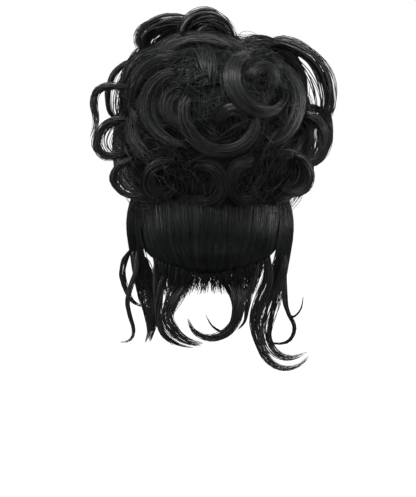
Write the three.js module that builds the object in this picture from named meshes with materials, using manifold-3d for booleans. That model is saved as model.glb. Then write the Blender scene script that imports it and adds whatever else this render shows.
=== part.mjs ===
// An updo wig: a hollow cap of combed hair, a smooth swept-up back, a pile of large curls on the crown,
// loose loops round the pile, and long tendrils at the sides and nape.
// Millimetres, +Z up, +Y to the front, +X to the right as worn. The origin is inside the hollow, at its
// very top, where the wig rests.
import * as THREE from "three";
import { mergeVertices } from "three/addons/utils/BufferGeometryUtils.js";
import Module from "manifold-3d";

const wasm = await Module();
wasm.setup();

// The hollow, open below, that the wig is worn by
const HOLLOW_BREADTH = 160; // side to side
const HOLLOW_DEPTH = 196; // front to back
const CROWN_HEIGHT = 95; // from the hollow's widest level up to its crown
const NAPE_DROP = 147; // from the crown down to the hem at the nape
const NAPE_TUCK = 0.17; // share by which the cap draws in from its widest level to the nape
const SIDE_TUCK = 0.05; // the same at the sides

// The cap and the smooth hair on it
const CAP_WALL = 7; // net and the hair combed over it
const BACK_PAD = 11; // the swept-up back at its fullest
const SIDE_PAD = 7; // the hair hanging at each side
const COMB_RIB = 0.9; // how far the combed sections of smooth hair stand out
const EDGE_PAD = 0.12; // least share of a pad's fullness, at its edges
const GAP = 0.3; // kept between one lock or layer and the next

// The pile of curls
const PILE_BREADTH = 202;
const PILE_DEPTH = 220;
const PILE_HEIGHT = 200;
const PILE_SHIFT = 4; // of its middle to the right
const PILE_SET_BACK = 22; // of its middle behind the middle of the hollow
const PILE_RAISE = 12; // of its middle above the crown
const PILE_LEAN = 14; // degrees that it leans back
const PILE_SQUARENESS = 2.8; // 2 is an egg, more is boxier
const PILE_RELIEF = 5; // depth of the soft swirls of the hair under the curls
const PILE_SWIRLS = 7; // how many of them go round it
const PILE_TWIST = 3; // radians that they lean over from the bottom of the pile to its middle

// Locks
const CURL_WIDTH = 30; // the broad way of a pinned curl
const CURL_THICK = 13;
const CURL_END = 0.6; // share of a curl's size left at its ends, and of its thickness that they sink
const LOOP_THICK = 6; // a loose loop round the pile
const TENDRIL_THICK = 8; // a hanging lock at its root
const TENDRIL_DROP = 100; // from the nape hem down to the lowest hook
const TIP_TAPER = 2.5; // the more, the nearer its tip a loose lock narrows
const FAN_REACH = 0.5; // share of a fanned lock's length over which it draws together

const CAP_SIDE = HOLLOW_BREADTH / 2 + CAP_WALL;
const CAP_BACK = HOLLOW_DEPTH / 2 + CAP_WALL;
const DEGREE = Math.PI / 180;
const STRAIGHT = Math.PI / 2;

// The lower edge of the cap: how far it hangs below the crown, as a share of NAPE_DROP, at each angle
// from the nape (0) round the side (80) to the front (180).
const HEM = [
  { angle: 0, drop: 1.0 },
  { angle: 45, drop: 0.88 },
  { angle: 80, drop: 0.64 },
  { angle: 120, drop: 0.5 },
  { angle: 180, drop: 0.4 },
];

// How full the swept-up back is down its length, from under the pile (0) to its rolled hem (1).
const BACK_SWELL = [
  { down: 0, swell: 0.45 },
  { down: 0.3, swell: 0.7 },
  { down: 0.72, swell: 1.0 },
  { down: 0.9, swell: 0.85 },
  { down: 1.0, swell: 0.35 },
];

// How full the hair at a side is, from under the pile (0) to where it parts into tendrils (1).
const SIDE_SWELL = [
  { down: 0, swell: 0.5 },
  { down: 0.5, swell: 0.8 },
  { down: 1.0, swell: 0.4 },
];

// Smooth layers on the cap. middle and spread are angles from the nape, the spread at the top and at the
// hem; top and hem are depths below the crown as shares of NAPE_DROP, and rise is how much higher than
// its middle the hem ends at each side.
const LAYERS = [
  { name: "back_sweep", middle: 0, spread: [66, 46], top: 0.34, hem: 1.01, rise: 0.13,
    pad: BACK_PAD, swell: BACK_SWELL, ribs: 5, columns: 20, rows: 4 },
  { name: "side_sweep_right", middle: 84, spread: [16, 27], top: 0.3, hem: 0.9, rise: 0.06,
    pad: SIDE_PAD, swell: SIDE_SWELL, ribs: 2, columns: 7, rows: 3 },
  { name: "side_sweep_left", middle: -84, spread: [16, 27], top: 0.3, hem: 0.87, rise: 0.06,
    pad: SIDE_PAD, swell: SIDE_SWELL, ribs: 2, columns: 7, rows: 3 },
];

// Curls pinned on the pile, each drawn as it is seen from one side: view is the angle of that side from
// the back (0) towards the right (90), and tilt how far above level it is, where it isn't 0. across and up
// place the middle of the curl's spiral, in shares of half PILE_BREADTH, which radius is in as well. It
// winds from the angle start, with 0 to that side's right and 90 up, over wind degrees, as its radius goes
// to grow times itself. width and thick are shares of CURL_WIDTH and CURL_THICK, and lift is how far its
// middle stands clear, as a share of its thickness. A curl higher in the table lies over those below it.
const CURLS = [
  { name: "curl_rosette_ring", view: 0, across: 0.45, up: 0.42, radius: 0.3, start: 100, wind: 238,
    grow: 0.95, width: 0.62, thick: 1.0, lift: 0.35 },
  { name: "curl_rosette_heart", view: 0, across: 0.45, up: 0.41, radius: 0.13, start: 170, wind: -200,
    grow: 0.85, width: 0.5, thick: 1.0, lift: 0.25 },
  { name: "curl_centre_hook", view: 0, across: 0.12, up: 0.09, radius: 0.42, start: 152, wind: 235,
    grow: 0.58, width: 0.6, thick: 1.1, lift: 0.35 },
  { name: "curl_left_crescent", view: 0, across: -0.26, up: 0.17, radius: 0.36, start: 105, wind: 178,
    grow: 0.95, width: 0.58, thick: 1.1, lift: 0.35 },
  { name: "curl_centre_fall", view: 0, across: -0.68, up: 0.46, radius: 0.64, start: 36, wind: -40,
    grow: 1.0, width: 0.8, thick: 0.9, lift: 0.25 },
  { name: "curl_rosette_outer", view: 0, across: 0.38, up: 0.22, radius: 0.46, start: 62, wind: -138,
    grow: 0.95, width: 0.55, thick: 1.0, lift: 0.25 },
  { name: "curl_centre_swirl", view: 0, across: 0.18, up: 0.04, radius: 0.12, start: 200, wind: -250,
    grow: 0.85, width: 0.5, thick: 0.9, lift: 0.1 },
  { name: "curl_left_inner", view: 0, across: -0.28, up: 0.17, radius: 0.16, start: 90, wind: 230,
    grow: 0.85, width: 0.6, thick: 0.9, lift: 0.15 },
  { name: "curl_crown_arch", view: 0, across: -0.12, up: 0.36, radius: 0.58, start: 138, wind: -92,
    grow: 1.0, width: 0.95, thick: 1.3, lift: 0.3 },
  { name: "curl_crown_right", view: 0, across: 0.5, up: 0.34, radius: 0.6, start: 108, wind: -100,
    grow: 1.0, width: 0.8, thick: 1.3, lift: 0.35 },
  { name: "curl_right_fall", view: 0, across: 0.38, up: 0.18, radius: 0.64, start: 22, wind: -92,
    grow: 0.95, width: 0.6, thick: 1.2, lift: 0.25 },
  { name: "curl_brow_inner", view: 0, across: -0.2, up: 0.06, radius: 0.66, start: 104, wind: 62,
    grow: 1.0, width: 0.75, thick: 1.0, lift: 0.25 },
  { name: "curl_brow_outer", view: 0, across: -0.15, up: 0.0, radius: 0.91, start: 106, wind: 52,
    grow: 1.0, width: 0.75, thick: 1.3, lift: 0.3 },
  { name: "curl_left_middle", view: 0, across: -0.42, up: 0.06, radius: 0.41, start: 165, wind: 100,
    grow: 1.0, width: 0.6, thick: 1.0, lift: 0.25 },
  { name: "curl_left_outer", view: 0, across: -0.45, up: 0.0, radius: 0.62, start: 158, wind: 122,
    grow: 0.95, width: 0.65, thick: 1.3, lift: 0.3 },
  { name: "curl_low_left", view: 0, across: -0.46, up: -0.5, radius: 0.16, start: 70, wind: 250,
    grow: 0.85, width: 0.55, thick: 1.1, lift: 0.3 },
  { name: "curl_low_middle", view: 0, across: -0.08, up: -0.53, radius: 0.17, start: 130, wind: -260,
    grow: 0.85, width: 0.55, thick: 1.1, lift: 0.3 },
  { name: "curl_low_inner", view: 0, across: 0.31, up: -0.51, radius: 0.17, start: 60, wind: 255,
    grow: 0.85, width: 0.55, thick: 1.1, lift: 0.3 },
  { name: "curl_low_right", view: 30, across: 0.32, up: -0.46, radius: 0.2, start: 130, wind: -280,
    grow: 0.85, width: 0.6, thick: 1.2, lift: 0.3 },
  { name: "curl_right_side", view: 80, across: 0.12, up: -0.16, radius: 0.38, start: 110, wind: -290,
    grow: 0.6, width: 1.05, thick: 1.4, lift: 0.35 },
  { name: "curl_right_temple", view: 108, tilt: 28, across: 0.0, up: 0.0, radius: 0.36, start: 200,
    wind: -280, grow: 0.6, width: 1.05, thick: 1.4, lift: 0.35 },
  { name: "curl_left_side", view: -86, across: -0.08, up: -0.2, radius: 0.38, start: 80, wind: 290,
    grow: 0.6, width: 1.05, thick: 1.4, lift: 0.35 },
  { name: "curl_left_temple", view: -106, tilt: 28, across: 0.0, up: 0.0, radius: 0.36, start: -20,
    wind: 280, grow: 0.6, width: 1.05, thick: 1.4, lift: 0.35 },
  { name: "curl_front_right", view: 156, across: 0.0, up: -0.08, radius: 0.38, start: 60, wind: -300,
    grow: 0.6, width: 1.1, thick: 1.4, lift: 0.35 },
  { name: "curl_front_left", view: -154, across: 0.0, up: -0.06, radius: 0.38, start: 120, wind: 300,
    grow: 0.6, width: 1.1, thick: 1.4, lift: 0.35 },
  { name: "curl_forecrown", view: 180, tilt: 42, across: 0.0, up: 0.0, radius: 0.36, start: 200,
    wind: -290, grow: 0.6, width: 1.1, thick: 1.4, lift: 0.35 },
  { name: "curl_crown_left", view: -75, tilt: 68, across: 0.0, up: 0.0, radius: 0.28, start: 250,
    wind: -270, grow: 0.7, width: 0.9, thick: 1.2, lift: 0.3 },
];

// Loose loops and rolls standing clear of the pile. Each point is [across, back, up] from the middle of
// the pile, in shares of half its breadth, depth and height. wide is the half thickness seen from behind
// and deep the half thickness from back to front, in shares of LOOP_THICK, and tip is the share of both
// that is left at the end.
const LOOPS = [
  { name: "top_roll", wide: 1.45, deep: 3.8, tip: 0.8,
    path: [[-0.33, 0.12, 0.9], [-0.35, 0.12, 1.06], [-0.24, 0.12, 1.19], [-0.06, 0.12, 1.24],
      [0.1, 0.12, 1.16], [0.18, 0.1, 1.02], [0.18, 0.08, 0.88]] },
  { name: "top_roll_heart", wide: 1.45, deep: 3.4, tip: 0.9,
    path: [[-0.16, 0.14, 0.86], [-0.17, 0.14, 0.98], [-0.08, 0.14, 1.06], [0.02, 0.14, 1.0],
      [0.02, 0.12, 0.86]] },
  { name: "top_sweep", wide: 1.3, deep: 3.0, tip: 0.35,
    path: [[-0.2, 0.12, 1.17], [-0.39, 0.12, 1.185], [-0.56, 0.13, 1.17], [-0.7, 0.14, 1.12],
      [-0.785, 0.14, 1.04], [-0.79, 0.14, 0.96], [-0.74, 0.12, 0.88], [-0.66, 0.1, 0.76]] },
  { name: "loop_shoulder", wide: 1.15, deep: 2.4, tip: 0.6,
    path: [[0.5, 0.1, 0.84], [0.7, 0.14, 0.96], [0.92, 0.18, 0.9], [1.14, 0.2, 0.72], [1.25, 0.2, 0.46],
      [1.24, 0.18, 0.2], [1.1, 0.14, 0.06], [0.92, 0.1, 0.0]] },
  { name: "loop_right_high", wide: 0.42, deep: 0.9, tip: 0.7,
    path: [[0.94, 0.0, 0.3], [1.14, 0.0, 0.25], [1.24, 0.0, 0.18], [1.265, 0.0, 0.05],
      [1.255, 0.0, -0.11], [1.2, 0.0, -0.27], [1.1, 0.0, -0.36], [0.92, 0.0, -0.32]] },
  { name: "loop_right_low", wide: 0.55, deep: 1.0, tip: 0.7,
    path: [[0.84, 0.34, 0.14], [1.06, 0.38, 0.13], [1.17, 0.38, 0.02], [1.18, 0.38, -0.16],
      [1.13, 0.38, -0.31], [1.0, 0.38, -0.36], [0.84, 0.36, -0.28]] },
  { name: "loop_right_curl", wide: 0.55, deep: 1.1, tip: 0.6,
    path: [[0.76, 0.5, -0.26], [0.96, 0.54, -0.34], [1.03, 0.54, -0.5], [0.97, 0.54, -0.66],
      [0.82, 0.54, -0.7], [0.66, 0.52, -0.6]] },
  { name: "loop_left_wing", wide: 0.42, deep: 0.9, tip: 0.8,
    path: [[-0.8, 0.25, 0.46], [-1.0, 0.28, 0.47], [-1.14, 0.3, 0.47], [-1.25, 0.3, 0.43],
      [-1.3, 0.3, 0.34], [-1.29, 0.3, 0.22], [-1.27, 0.3, 0.1], [-1.29, 0.3, 0.0],
      [-1.33, 0.3, -0.1]] },
  { name: "loop_left_brow", wide: 0.3, deep: 0.7, tip: 0.6,
    path: [[-0.74, 0.0, 0.8], [-0.96, 0.02, 0.75], [-1.09, 0.04, 0.63], [-1.15, 0.04, 0.48],
      [-1.16, 0.02, 0.34], [-1.12, 0.0, 0.18], [-0.98, 0.0, 0.08]] },
  { name: "loop_left_ring", wide: 0.5, deep: 0.7, tip: 0.7,
    path: [[-0.9, 0.4, 0.1], [-1.09, 0.42, 0.08], [-1.21, 0.42, -0.02], [-1.26, 0.42, -0.17],
      [-1.17, 0.42, -0.29], [-0.9, 0.4, -0.26]] },
  { name: "loop_left_low", wide: 0.34, deep: 0.8, tip: 0.5,
    path: [[-0.84, 0.52, -0.3], [-1.03, 0.54, -0.42], [-1.08, 0.54, -0.56], [-0.98, 0.54, -0.69],
      [-0.82, 0.54, -0.74], [-0.62, 0.54, -0.66]] },
];

// Hanging locks. Each point is [across, back, hang]: across and back from the axis of the cap in shares
// of its outer half breadth and half depth, and hang below the nape hem as a share of TENDRIL_DROP. wide,
// deep and tip are as above, in shares of TENDRIL_THICK. A lock that fans out at its root is fan times as
// wide there, and one that lies flat to the nape is turned by turn degrees from the back.
const TENDRILS = [
  { name: "tendril_left_straight", wide: 1.0, deep: 0.45, tip: 0.25,
    path: [[-0.95, 0.3, -0.27], [-0.82, 0.3, 0.0], [-0.75, 0.28, 0.24], [-0.73, 0.26, 0.44],
      [-0.74, 0.24, 0.62], [-0.78, 0.23, 0.76]] },
  { name: "tendril_left_bow", wide: 0.32, deep: 0.45, tip: 0.5,
    path: [[-1.02, 0.12, -0.27], [-1.1, 0.1, -0.14], [-1.12, 0.08, 0.02], [-1.07, 0.06, 0.18],
      [-0.99, 0.05, 0.3], [-0.84, 0.05, 0.37]] },
  { name: "tendril_left_curl", wide: 0.28, deep: 0.4, tip: 0.5,
    path: [[-0.92, 0.43, -0.26], [-0.93, 0.46, -0.05], [-1.0, 0.47, 0.12], [-1.04, 0.45, 0.29],
      [-1.01, 0.43, 0.45], [-0.965, 0.41, 0.59], [-0.98, 0.4, 0.69], [-1.05, 0.4, 0.735],
      [-1.15, 0.39, 0.735]] },
  { name: "tendril_left_inner", wide: 0.36, deep: 0.4, tip: 0.3,
    path: [[-0.68, 0.68, -0.18], [-0.67, 0.66, 0.08], [-0.66, 0.64, 0.36], [-0.6, 0.62, 0.64],
      [-0.44, 0.6, 0.77]] },
  { name: "tendril_left_front", wide: 0.5, deep: 0.5, tip: 0.3,
    path: [[-1.0, -0.14, -0.28], [-0.93, -0.15, 0.0], [-0.86, -0.16, 0.28], [-0.8, -0.16, 0.52],
      [-0.79, -0.16, 0.66], [-0.84, -0.16, 0.78]] },
  { name: "tendril_right_hook_high", wide: 0.8, deep: 0.5, tip: 0.12,
    path: [[0.93, 0.2, -0.24], [0.86, 0.2, -0.08], [0.825, 0.19, 0.1], [0.81, 0.19, 0.26],
      [0.76, 0.18, 0.42], [0.72, 0.17, 0.57], [0.74, 0.16, 0.75], [0.86, 0.15, 0.895], [1.05, 0.14, 0.93],
      [1.27, 0.14, 0.85]] },
  { name: "tendril_right_hook_low", wide: 0.55, deep: 0.4, tip: 0.3,
    path: [[0.72, 0.6, -0.26], [0.73, 0.61, 0.05], [0.64, 0.6, 0.26], [0.57, 0.58, 0.48],
      [0.62, 0.56, 0.74], [0.73, 0.55, 0.93], [0.92, 0.54, 1.02], [1.13, 0.53, 0.98], [1.26, 0.52, 0.86]] },
  { name: "tendril_right_inner", wide: 0.5, deep: 0.4, tip: 0.35,
    path: [[0.94, 0.4, -0.22], [0.92, 0.42, 0.0], [0.82, 0.43, 0.17], [0.66, 0.44, 0.3],
      [0.54, 0.44, 0.44], [0.5, 0.44, 0.58]] },
  { name: "tendril_right_loop", wide: 0.26, deep: 0.4, tip: 0.35,
    path: [[0.98, -0.08, -0.27], [0.96, -0.09, 0.1], [1.0, -0.1, 0.42], [1.09, -0.1, 0.6],
      [1.02, -0.11, 0.75], [0.84, -0.12, 0.78], [0.66, -0.12, 0.71]] },
  { name: "tendril_right_wisp", wide: 0.15, deep: 0.3, tip: 0.4,
    path: [[0.98, 0.05, -0.27], [0.96, 0.04, -0.1], [0.95, 0.03, 0.14], [0.96, 0.02, 0.34],
      [1.05, 0.02, 0.48], [1.16, 0.02, 0.4], [1.2, 0.02, 0.24]] },
  { name: "nape_left_sweep", wide: 0.8, deep: 0.34, tip: 0.5, fan: 2.6, turn: -26,
    path: [[-0.3, 0.8, -0.03], [-0.4, 0.82, 0.14], [-0.49, 0.86, 0.31], [-0.54, 0.85, 0.46],
      [-0.45, 0.84, 0.6], [-0.28, 0.83, 0.71], [-0.08, 0.82, 0.745]] },
  { name: "nape_left_strand", wide: 0.36, deep: 0.34, tip: 0.3,
    path: [[-0.5, 0.75, -0.12], [-0.6, 0.75, 0.12], [-0.64, 0.75, 0.4], [-0.6, 0.74, 0.6],
      [-0.42, 0.73, 0.74], [-0.2, 0.72, 0.79]] },
  { name: "nape_right_sweep", wide: 0.6, deep: 0.34, tip: 0.3, fan: 2.8, turn: 24,
    path: [[0.26, 0.81, -0.03], [0.33, 0.83, 0.15], [0.355, 0.86, 0.33], [0.3, 0.85, 0.51],
      [0.16, 0.84, 0.64], [-0.03, 0.83, 0.67], [-0.2, 0.82, 0.6], [-0.28, 0.82, 0.46]] },
  { name: "nape_middle_hook", wide: 0.22, deep: 0.3, tip: 0.3,
    path: [[0.06, 0.85, -0.01], [0.2, 0.8, 0.12], [0.29, 0.77, 0.3], [0.29, 0.76, 0.48],
      [0.17, 0.76, 0.61], [0.03, 0.76, 0.55], [-0.06, 0.76, 0.42]] },
  { name: "nape_right_strand", wide: 0.34, deep: 0.34, tip: 0.3,
    path: [[0.6, 0.74, -0.16], [0.55, 0.76, 0.03], [0.485, 0.77, 0.2], [0.46, 0.77, 0.36],
      [0.43, 0.76, 0.5], [0.33, 0.76, 0.6]] },
];

const HAIR = new THREE.MeshStandardMaterial({ color: 0x1c1d1e, roughness: 0.45, metalness: 0 });
const HAIR_SMOOTH = new THREE.MeshStandardMaterial({ color: 0x141516, roughness: 0.4, metalness: 0 });

const { lerp } = THREE.MathUtils;

// Reads a table between its rows, easing from one row to the next.
function eased(rows, key, at, value) {
  const next = Math.max(1, rows.findIndex((row) => row[key] >= at));
  const [low, high] = [rows[next - 1], rows[next]];
  const share = THREE.MathUtils.smoothstep(at, low[key], high[key]);
  return lerp(low[value], high[value], share);
}

// Bends a closed three.js geometry by moving each of its vertices, and makes it a solid.
function solidOf(geometry, place) {
  geometry.deleteAttribute("normal");
  geometry.deleteAttribute("uv");
  const whole = mergeVertices(geometry, 1e-4);
  const position = whole.getAttribute("position");
  const vertex = new THREE.Vector3();
  for (let i = 0; i < position.count; i++) {
    vertex.fromBufferAttribute(position, i);
    position.setXYZ(i, ...place(vertex));
  }
  const merged = mergeVertices(whole, 1e-4);
  const corners = { numProp: 3, vertProperties: merged.getAttribute("position").array };
  const triVerts = new Uint32Array(merged.getIndex().array);
  const solid = new wasm.Manifold(new wasm.Mesh({ ...corners, triVerts }));
  if (solid.volume() > 0) return solid;
  return new wasm.Manifold(new wasm.Mesh({ ...corners, triVerts: triVerts.reverse() }));
}

// The largest body of a solid, so that a lock cut by a lock over it stays one lock, without the slivers
// that cutting leaves.
function tidy(solid) {
  const body = solid.decompose().reduce((a, b) => (b.volume() > a.volume() ? b : a));
  return body.simplify(GAP / 2);
}

function meshOf(name, solid, material) {
  const { numProp, vertProperties, triVerts } = solid.getMesh();
  const positions = Array.from({ length: vertProperties.length / numProp }, (_, i) =>
    [...vertProperties.subarray(i * numProp, i * numProp + 3)]).flat();
  const geometry = new THREE.BufferGeometry();
  geometry.setAttribute("position", new THREE.Float32BufferAttribute(positions, 3));
  geometry.setIndex([...triVerts]);
  geometry.computeVertexNormals();
  const mesh = new THREE.Mesh(geometry, material);
  mesh.name = name;
  return mesh;
}

// A point of the cap: turn is the angle from the nape, fall the angle down from the crown, and offset
// the distance outside the hollow. Above the widest level it is an ellipsoid, below it a tucked-in wall.
function capPoint(turn, fall, offset) {
  const over = Math.max(0, fall - STRAIGHT);
  const tuck = lerp(SIDE_TUCK, NAPE_TUCK, Math.max(0, Math.cos(turn)) ** 2);
  const reach = fallOf(NAPE_DROP) - STRAIGHT;
  const girth = over > 0 ? 1 - tuck * (over / reach) ** 2 : Math.sin(fall);
  const height = over > 0 ? -CROWN_HEIGHT * over : (CROWN_HEIGHT + offset) * Math.cos(fall);
  return [
    (HOLLOW_BREADTH / 2 + offset) * girth * Math.sin(turn),
    -(HOLLOW_DEPTH / 2 + offset) * girth * Math.cos(turn),
    height - CROWN_HEIGHT,
  ];
}

// The fall angle at a depth below the crown.
function fallOf(depth) {
  if (depth > CROWN_HEIGHT) return STRAIGHT + (depth - CROWN_HEIGHT) / CROWN_HEIGHT;
  return Math.acos(1 - depth / CROWN_HEIGHT);
}

// How far the cap's hem hangs below the crown at a turn from the nape.
function hemDrop(turn) {
  const angle = Math.abs(Math.atan2(Math.sin(turn), Math.cos(turn))) / DEGREE;
  return NAPE_DROP * eased(HEM, "angle", angle, "drop");
}

// How finely the cap is divided round it and down it, and how far below its hem a block of it reaches
const CAP_TURNS = 24;
const CAP_STEPS = 5;
const BLOCK_REACH = 1.1;

// The cap: a lathe whose profile runs from the outer crown down to the hem and back up inside.
function capSolid(grow = 0) {
  const last = 2 * CAP_STEPS + 1;
  const profile = Array.from({ length: last + 1 }, (_, i) =>
    new THREE.Vector2(i === 0 || i === last ? 0 : 1, i));
  return solidOf(new THREE.LatheGeometry(profile, CAP_TURNS), ({ x, y, z }) => {
    const step = Math.round(y);
    const outside = step <= CAP_STEPS;
    const share = (outside ? step : last - step) / CAP_STEPS;
    const turn = Math.atan2(x, z);
    return capPoint(turn, fallOf(hemDrop(turn) + grow) * share, outside ? CAP_WALL + grow : -grow);
  });
}

// The cap and its hollow as one full block, reaching on below the hem, for fitting what lies on the cap.
function capBlock(offset) {
  const foot = CAP_STEPS + 1;
  const profile = Array.from({ length: foot + 2 }, (_, i) =>
    new THREE.Vector2(i === 0 || i > foot ? 0 : 1, i));
  return solidOf(new THREE.LatheGeometry(profile, CAP_TURNS), ({ x, y, z }) => {
    const turn = Math.atan2(x, z);
    const share = Math.min(1, Math.round(y) / CAP_STEPS);
    const fall = y > CAP_STEPS ? fallOf(NAPE_DROP * BLOCK_REACH) : fallOf(hemDrop(turn)) * share;
    const [a, b, c] = capPoint(turn, fall, CAP_WALL + offset);
    return y > foot ? [0, 0, c] : [a, b, c];
  });
}

// A padded layer of combed hair on the cap, between two turns, with shallow ribs down it.
function layerSolid(layer, grow = 0) {
  const box = new THREE.BoxGeometry(1, 1, 1, layer.columns, 1, layer.rows);
  return solidOf(box, ({ x, y, z }) => {
    const across = x * 2;
    const down = z + 0.5;
    const hem = NAPE_DROP * (layer.hem - layer.rise * across ** 2);
    const top = NAPE_DROP * layer.top;
    const spread = lerp(layer.spread[0], layer.spread[1], down);
    const depth = lerp(top - grow, hem + grow, down);
    const turn = (layer.middle + across * spread) * DEGREE + (across * grow) / CAP_SIDE;
    const rounded = Math.max(EDGE_PAD, 1 - across ** 4) * eased(layer.swell, "down", down, "swell");
    const rib = COMB_RIB * Math.cos(Math.PI * layer.ribs * across);
    const outer = CAP_WALL + GAP + layer.pad * rounded + rib * rounded + grow;
    return capPoint(turn, fallOf(depth), y > 0 ? outer : CAP_WALL / 2);
  });
}

const pileMiddle = new THREE.Vector3(PILE_SHIFT, -PILE_SET_BACK, PILE_RAISE);
const lean = new THREE.Quaternion().setFromAxisAngle(new THREE.Vector3(1, 0, 0), PILE_LEAN * DEGREE);
const pileHalf = new THREE.Vector3(PILE_BREADTH, PILE_DEPTH, PILE_HEIGHT).multiplyScalar(0.5);

// A point of the pile in a direction from its middle, raised by lift along the surface's normal. The pile
// is a superellipsoid: round in plan, and squarer up and down.
function pilePoint(direction, lift) {
  const n = PILE_SQUARENESS;
  const local = direction.clone().applyQuaternion(lean.clone().invert()).divide(pileHalf);
  const plan = Math.hypot(local.x, local.y);
  const size = (plan ** n + Math.abs(local.z) ** n) ** (1 / n);
  const flat = plan ** (n - 2);
  const normal = new THREE.Vector3(local.x * flat, local.y * flat, Math.abs(local.z) ** (n - 2) * local.z)
    .divide(pileHalf).applyQuaternion(lean).normalize();
  const point = local.divideScalar(size).multiply(pileHalf).applyQuaternion(lean).add(pileMiddle);
  return { point: point.addScaledVector(normal, lift), normal };
}

// How finely the pile is divided: sides for each swirl, and rings from top to bottom
const SWIRL_SIDES = 4;
const PILE_RINGS = 12;

// The hair under the curls, swirled round the pile in shallow waves.
function pileSolid(lift) {
  const ball = new THREE.SphereGeometry(1, PILE_SWIRLS * SWIRL_SIDES, PILE_RINGS).rotateX(STRAIGHT);
  return solidOf(ball, (direction) => {
    const level = Math.hypot(direction.x, direction.y);
    const wave = PILE_SWIRLS * Math.atan2(direction.x, direction.y) + PILE_TWIST * direction.z;
    const dent = (PILE_RELIEF * level * (1 + Math.cos(wave))) / 2;
    return [...pilePoint(direction, lift - dent).point];
  });
}

// A curl has a few steps at its ends and one for each STEP_TURN degrees that it winds. Past the pile's
// edge, as its view sees it, the curl stays on the side that is seen, at least NEAR_SIDE of the way round.
const CURL_STEPS = 4;
const STEP_TURN = 45;
const NEAR_SIDE = 0.17;

// The stations of a curl: a spiral drawn on the pile as seen from its view, whose ends dive into it.
function curlStations(curl) {
  const { view, tilt = 0 } = curl;
  const turned = new THREE.Euler(-tilt * DEGREE, 0, view * DEGREE, "ZXY");
  const toView = new THREE.Quaternion().setFromEuler(turned);
  const thick = curl.thick * CURL_THICK;
  const steps = CURL_STEPS + Math.round(Math.abs(curl.wind) / STEP_TURN);
  const places = Array.from({ length: steps + 1 }, (_, i) => {
    const share = i / steps;
    const angle = (curl.start + curl.wind * share) * DEGREE;
    const reach = curl.radius * curl.grow ** share;
    const across = curl.across + reach * Math.cos(angle);
    const up = curl.up + reach * Math.sin(angle);
    const near = Math.sqrt(Math.max(NEAR_SIDE ** 2, 1 - across ** 2 - up ** 2));
    const toward = new THREE.Vector3(across, -near, up).applyQuaternion(toView).normalize();
    const arch = Math.sin(Math.PI * share) ** 0.4;
    return { share, ...pilePoint(toward, thick * lerp(-CURL_END, curl.lift, arch)) };
  });
  return places.map(({ share, point, normal }, i) => {
    const ahead = places[Math.min(i + 1, steps)].point;
    const behind = places[Math.max(i - 1, 0)].point;
    const side = ahead.clone().sub(behind).cross(normal).normalize();
    const full = lerp(CURL_END, 1, Math.sin(Math.PI * share)) / 2;
    return { point, side, out: normal, broad: curl.width * CURL_WIDTH * full, thin: thick * full };
  });
}

// The stations of a loose lock: a smooth curve through its points, broad from back to front.
function strandStations(lock, points, size, steps) {
  const { fan = 1, turn = 0 } = lock;
  const curve = new THREE.CatmullRomCurve3(points, false, "centripetal");
  const back = new THREE.Vector3(0, -1, 0).applyAxisAngle(new THREE.Vector3(0, 0, 1), turn * DEGREE);
  return Array.from({ length: steps + 1 }, (_, i) => {
    const share = i / steps;
    const tangent = curve.getTangentAt(share);
    const side = back.clone().addScaledVector(tangent, -back.dot(tangent)).normalize();
    const out = tangent.clone().cross(side);
    const full = size * (1 - (1 - lock.tip) * share ** TIP_TAPER);
    const fanned = lerp(fan, 1, Math.min(1, share / FAN_REACH) ** 0.5);
    return { point: curve.getPointAt(share), side, out, broad: lock.deep * full,
      thin: lock.wide * full * fanned };
  });
}

// A lock: a cylinder whose rings are carried along the stations as ovals. grow makes it larger all round.
function lockSolid(stations, sides, grow = 0) {
  const steps = stations.length - 1;
  const rod = new THREE.CylinderGeometry(1, 1, 1, sides, steps);
  const first = stations[0].point.clone().sub(stations[1].point).setLength(grow);
  const final = stations[steps].point.clone().sub(stations[steps - 1].point).setLength(grow);
  return solidOf(rod, ({ x, y, z }) => {
    const step = Math.round((y + 0.5) * steps);
    const { point, side, out, broad, thin } = stations[step];
    const place = point.clone().addScaledVector(side, x * (broad + grow));
    place.addScaledVector(out, z * (thin + grow));
    if (step === 0) place.add(first);
    if (step === steps) place.add(final);
    return [...place];
  });
}

// Steps of a loop and of a tendril for each point of its path, and sides of each kind of lock
const LOOP_FINENESS = 1.3;
const TENDRIL_FINENESS = 1.4;
const CURL_SIDES = 5;
const LOOP_SIDES = 6;
const TENDRIL_SIDES = 5;

function loopStations(loop) {
  const points = loop.path.map(([across, back, up]) =>
    new THREE.Vector3(across, -back, up).multiply(pileHalf).add(pileMiddle));
  return strandStations(loop, points, LOOP_THICK, Math.round(loop.path.length * LOOP_FINENESS));
}

function tendrilStations(tendril) {
  const points = tendril.path.map(([across, back, hang]) =>
    new THREE.Vector3(across * CAP_SIDE, -back * CAP_BACK, -NAPE_DROP - hang * TENDRIL_DROP));
  const steps = Math.round(tendril.path.length * TENDRIL_FINENESS);
  return strandStations(tendril, points, TENDRIL_THICK, steps);
}

const wig = new THREE.Group();
wig.add(meshOf("cap", capSolid(), HAIR_SMOOTH));

// What is already placed, each a gap larger, so that the next lock is cut clear of it.
const block = capBlock(GAP);
const layers = LAYERS.map((layer) => layerSolid(layer, GAP));
for (const layer of LAYERS) {
  wig.add(meshOf(layer.name, tidy(layerSolid(layer).subtract(block)), HAIR_SMOOTH));
}
wig.add(meshOf("pile_core", tidy(pileSolid(0).subtract(wasm.Manifold.union([block, ...layers]))), HAIR));

let taken = wasm.Manifold.union([block, ...layers, pileSolid(GAP)]);
const addLock = (name, stations, sides) => {
  wig.add(meshOf(name, tidy(lockSolid(stations, sides).subtract(taken)), HAIR));
  taken = wasm.Manifold.union([taken, lockSolid(stations, sides, GAP), lockSolid(stations, sides)]);
};
for (const curl of CURLS) addLock(curl.name, curlStations(curl), CURL_SIDES);
for (const loop of LOOPS) addLock(loop.name, loopStations(loop), LOOP_SIDES);

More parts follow.
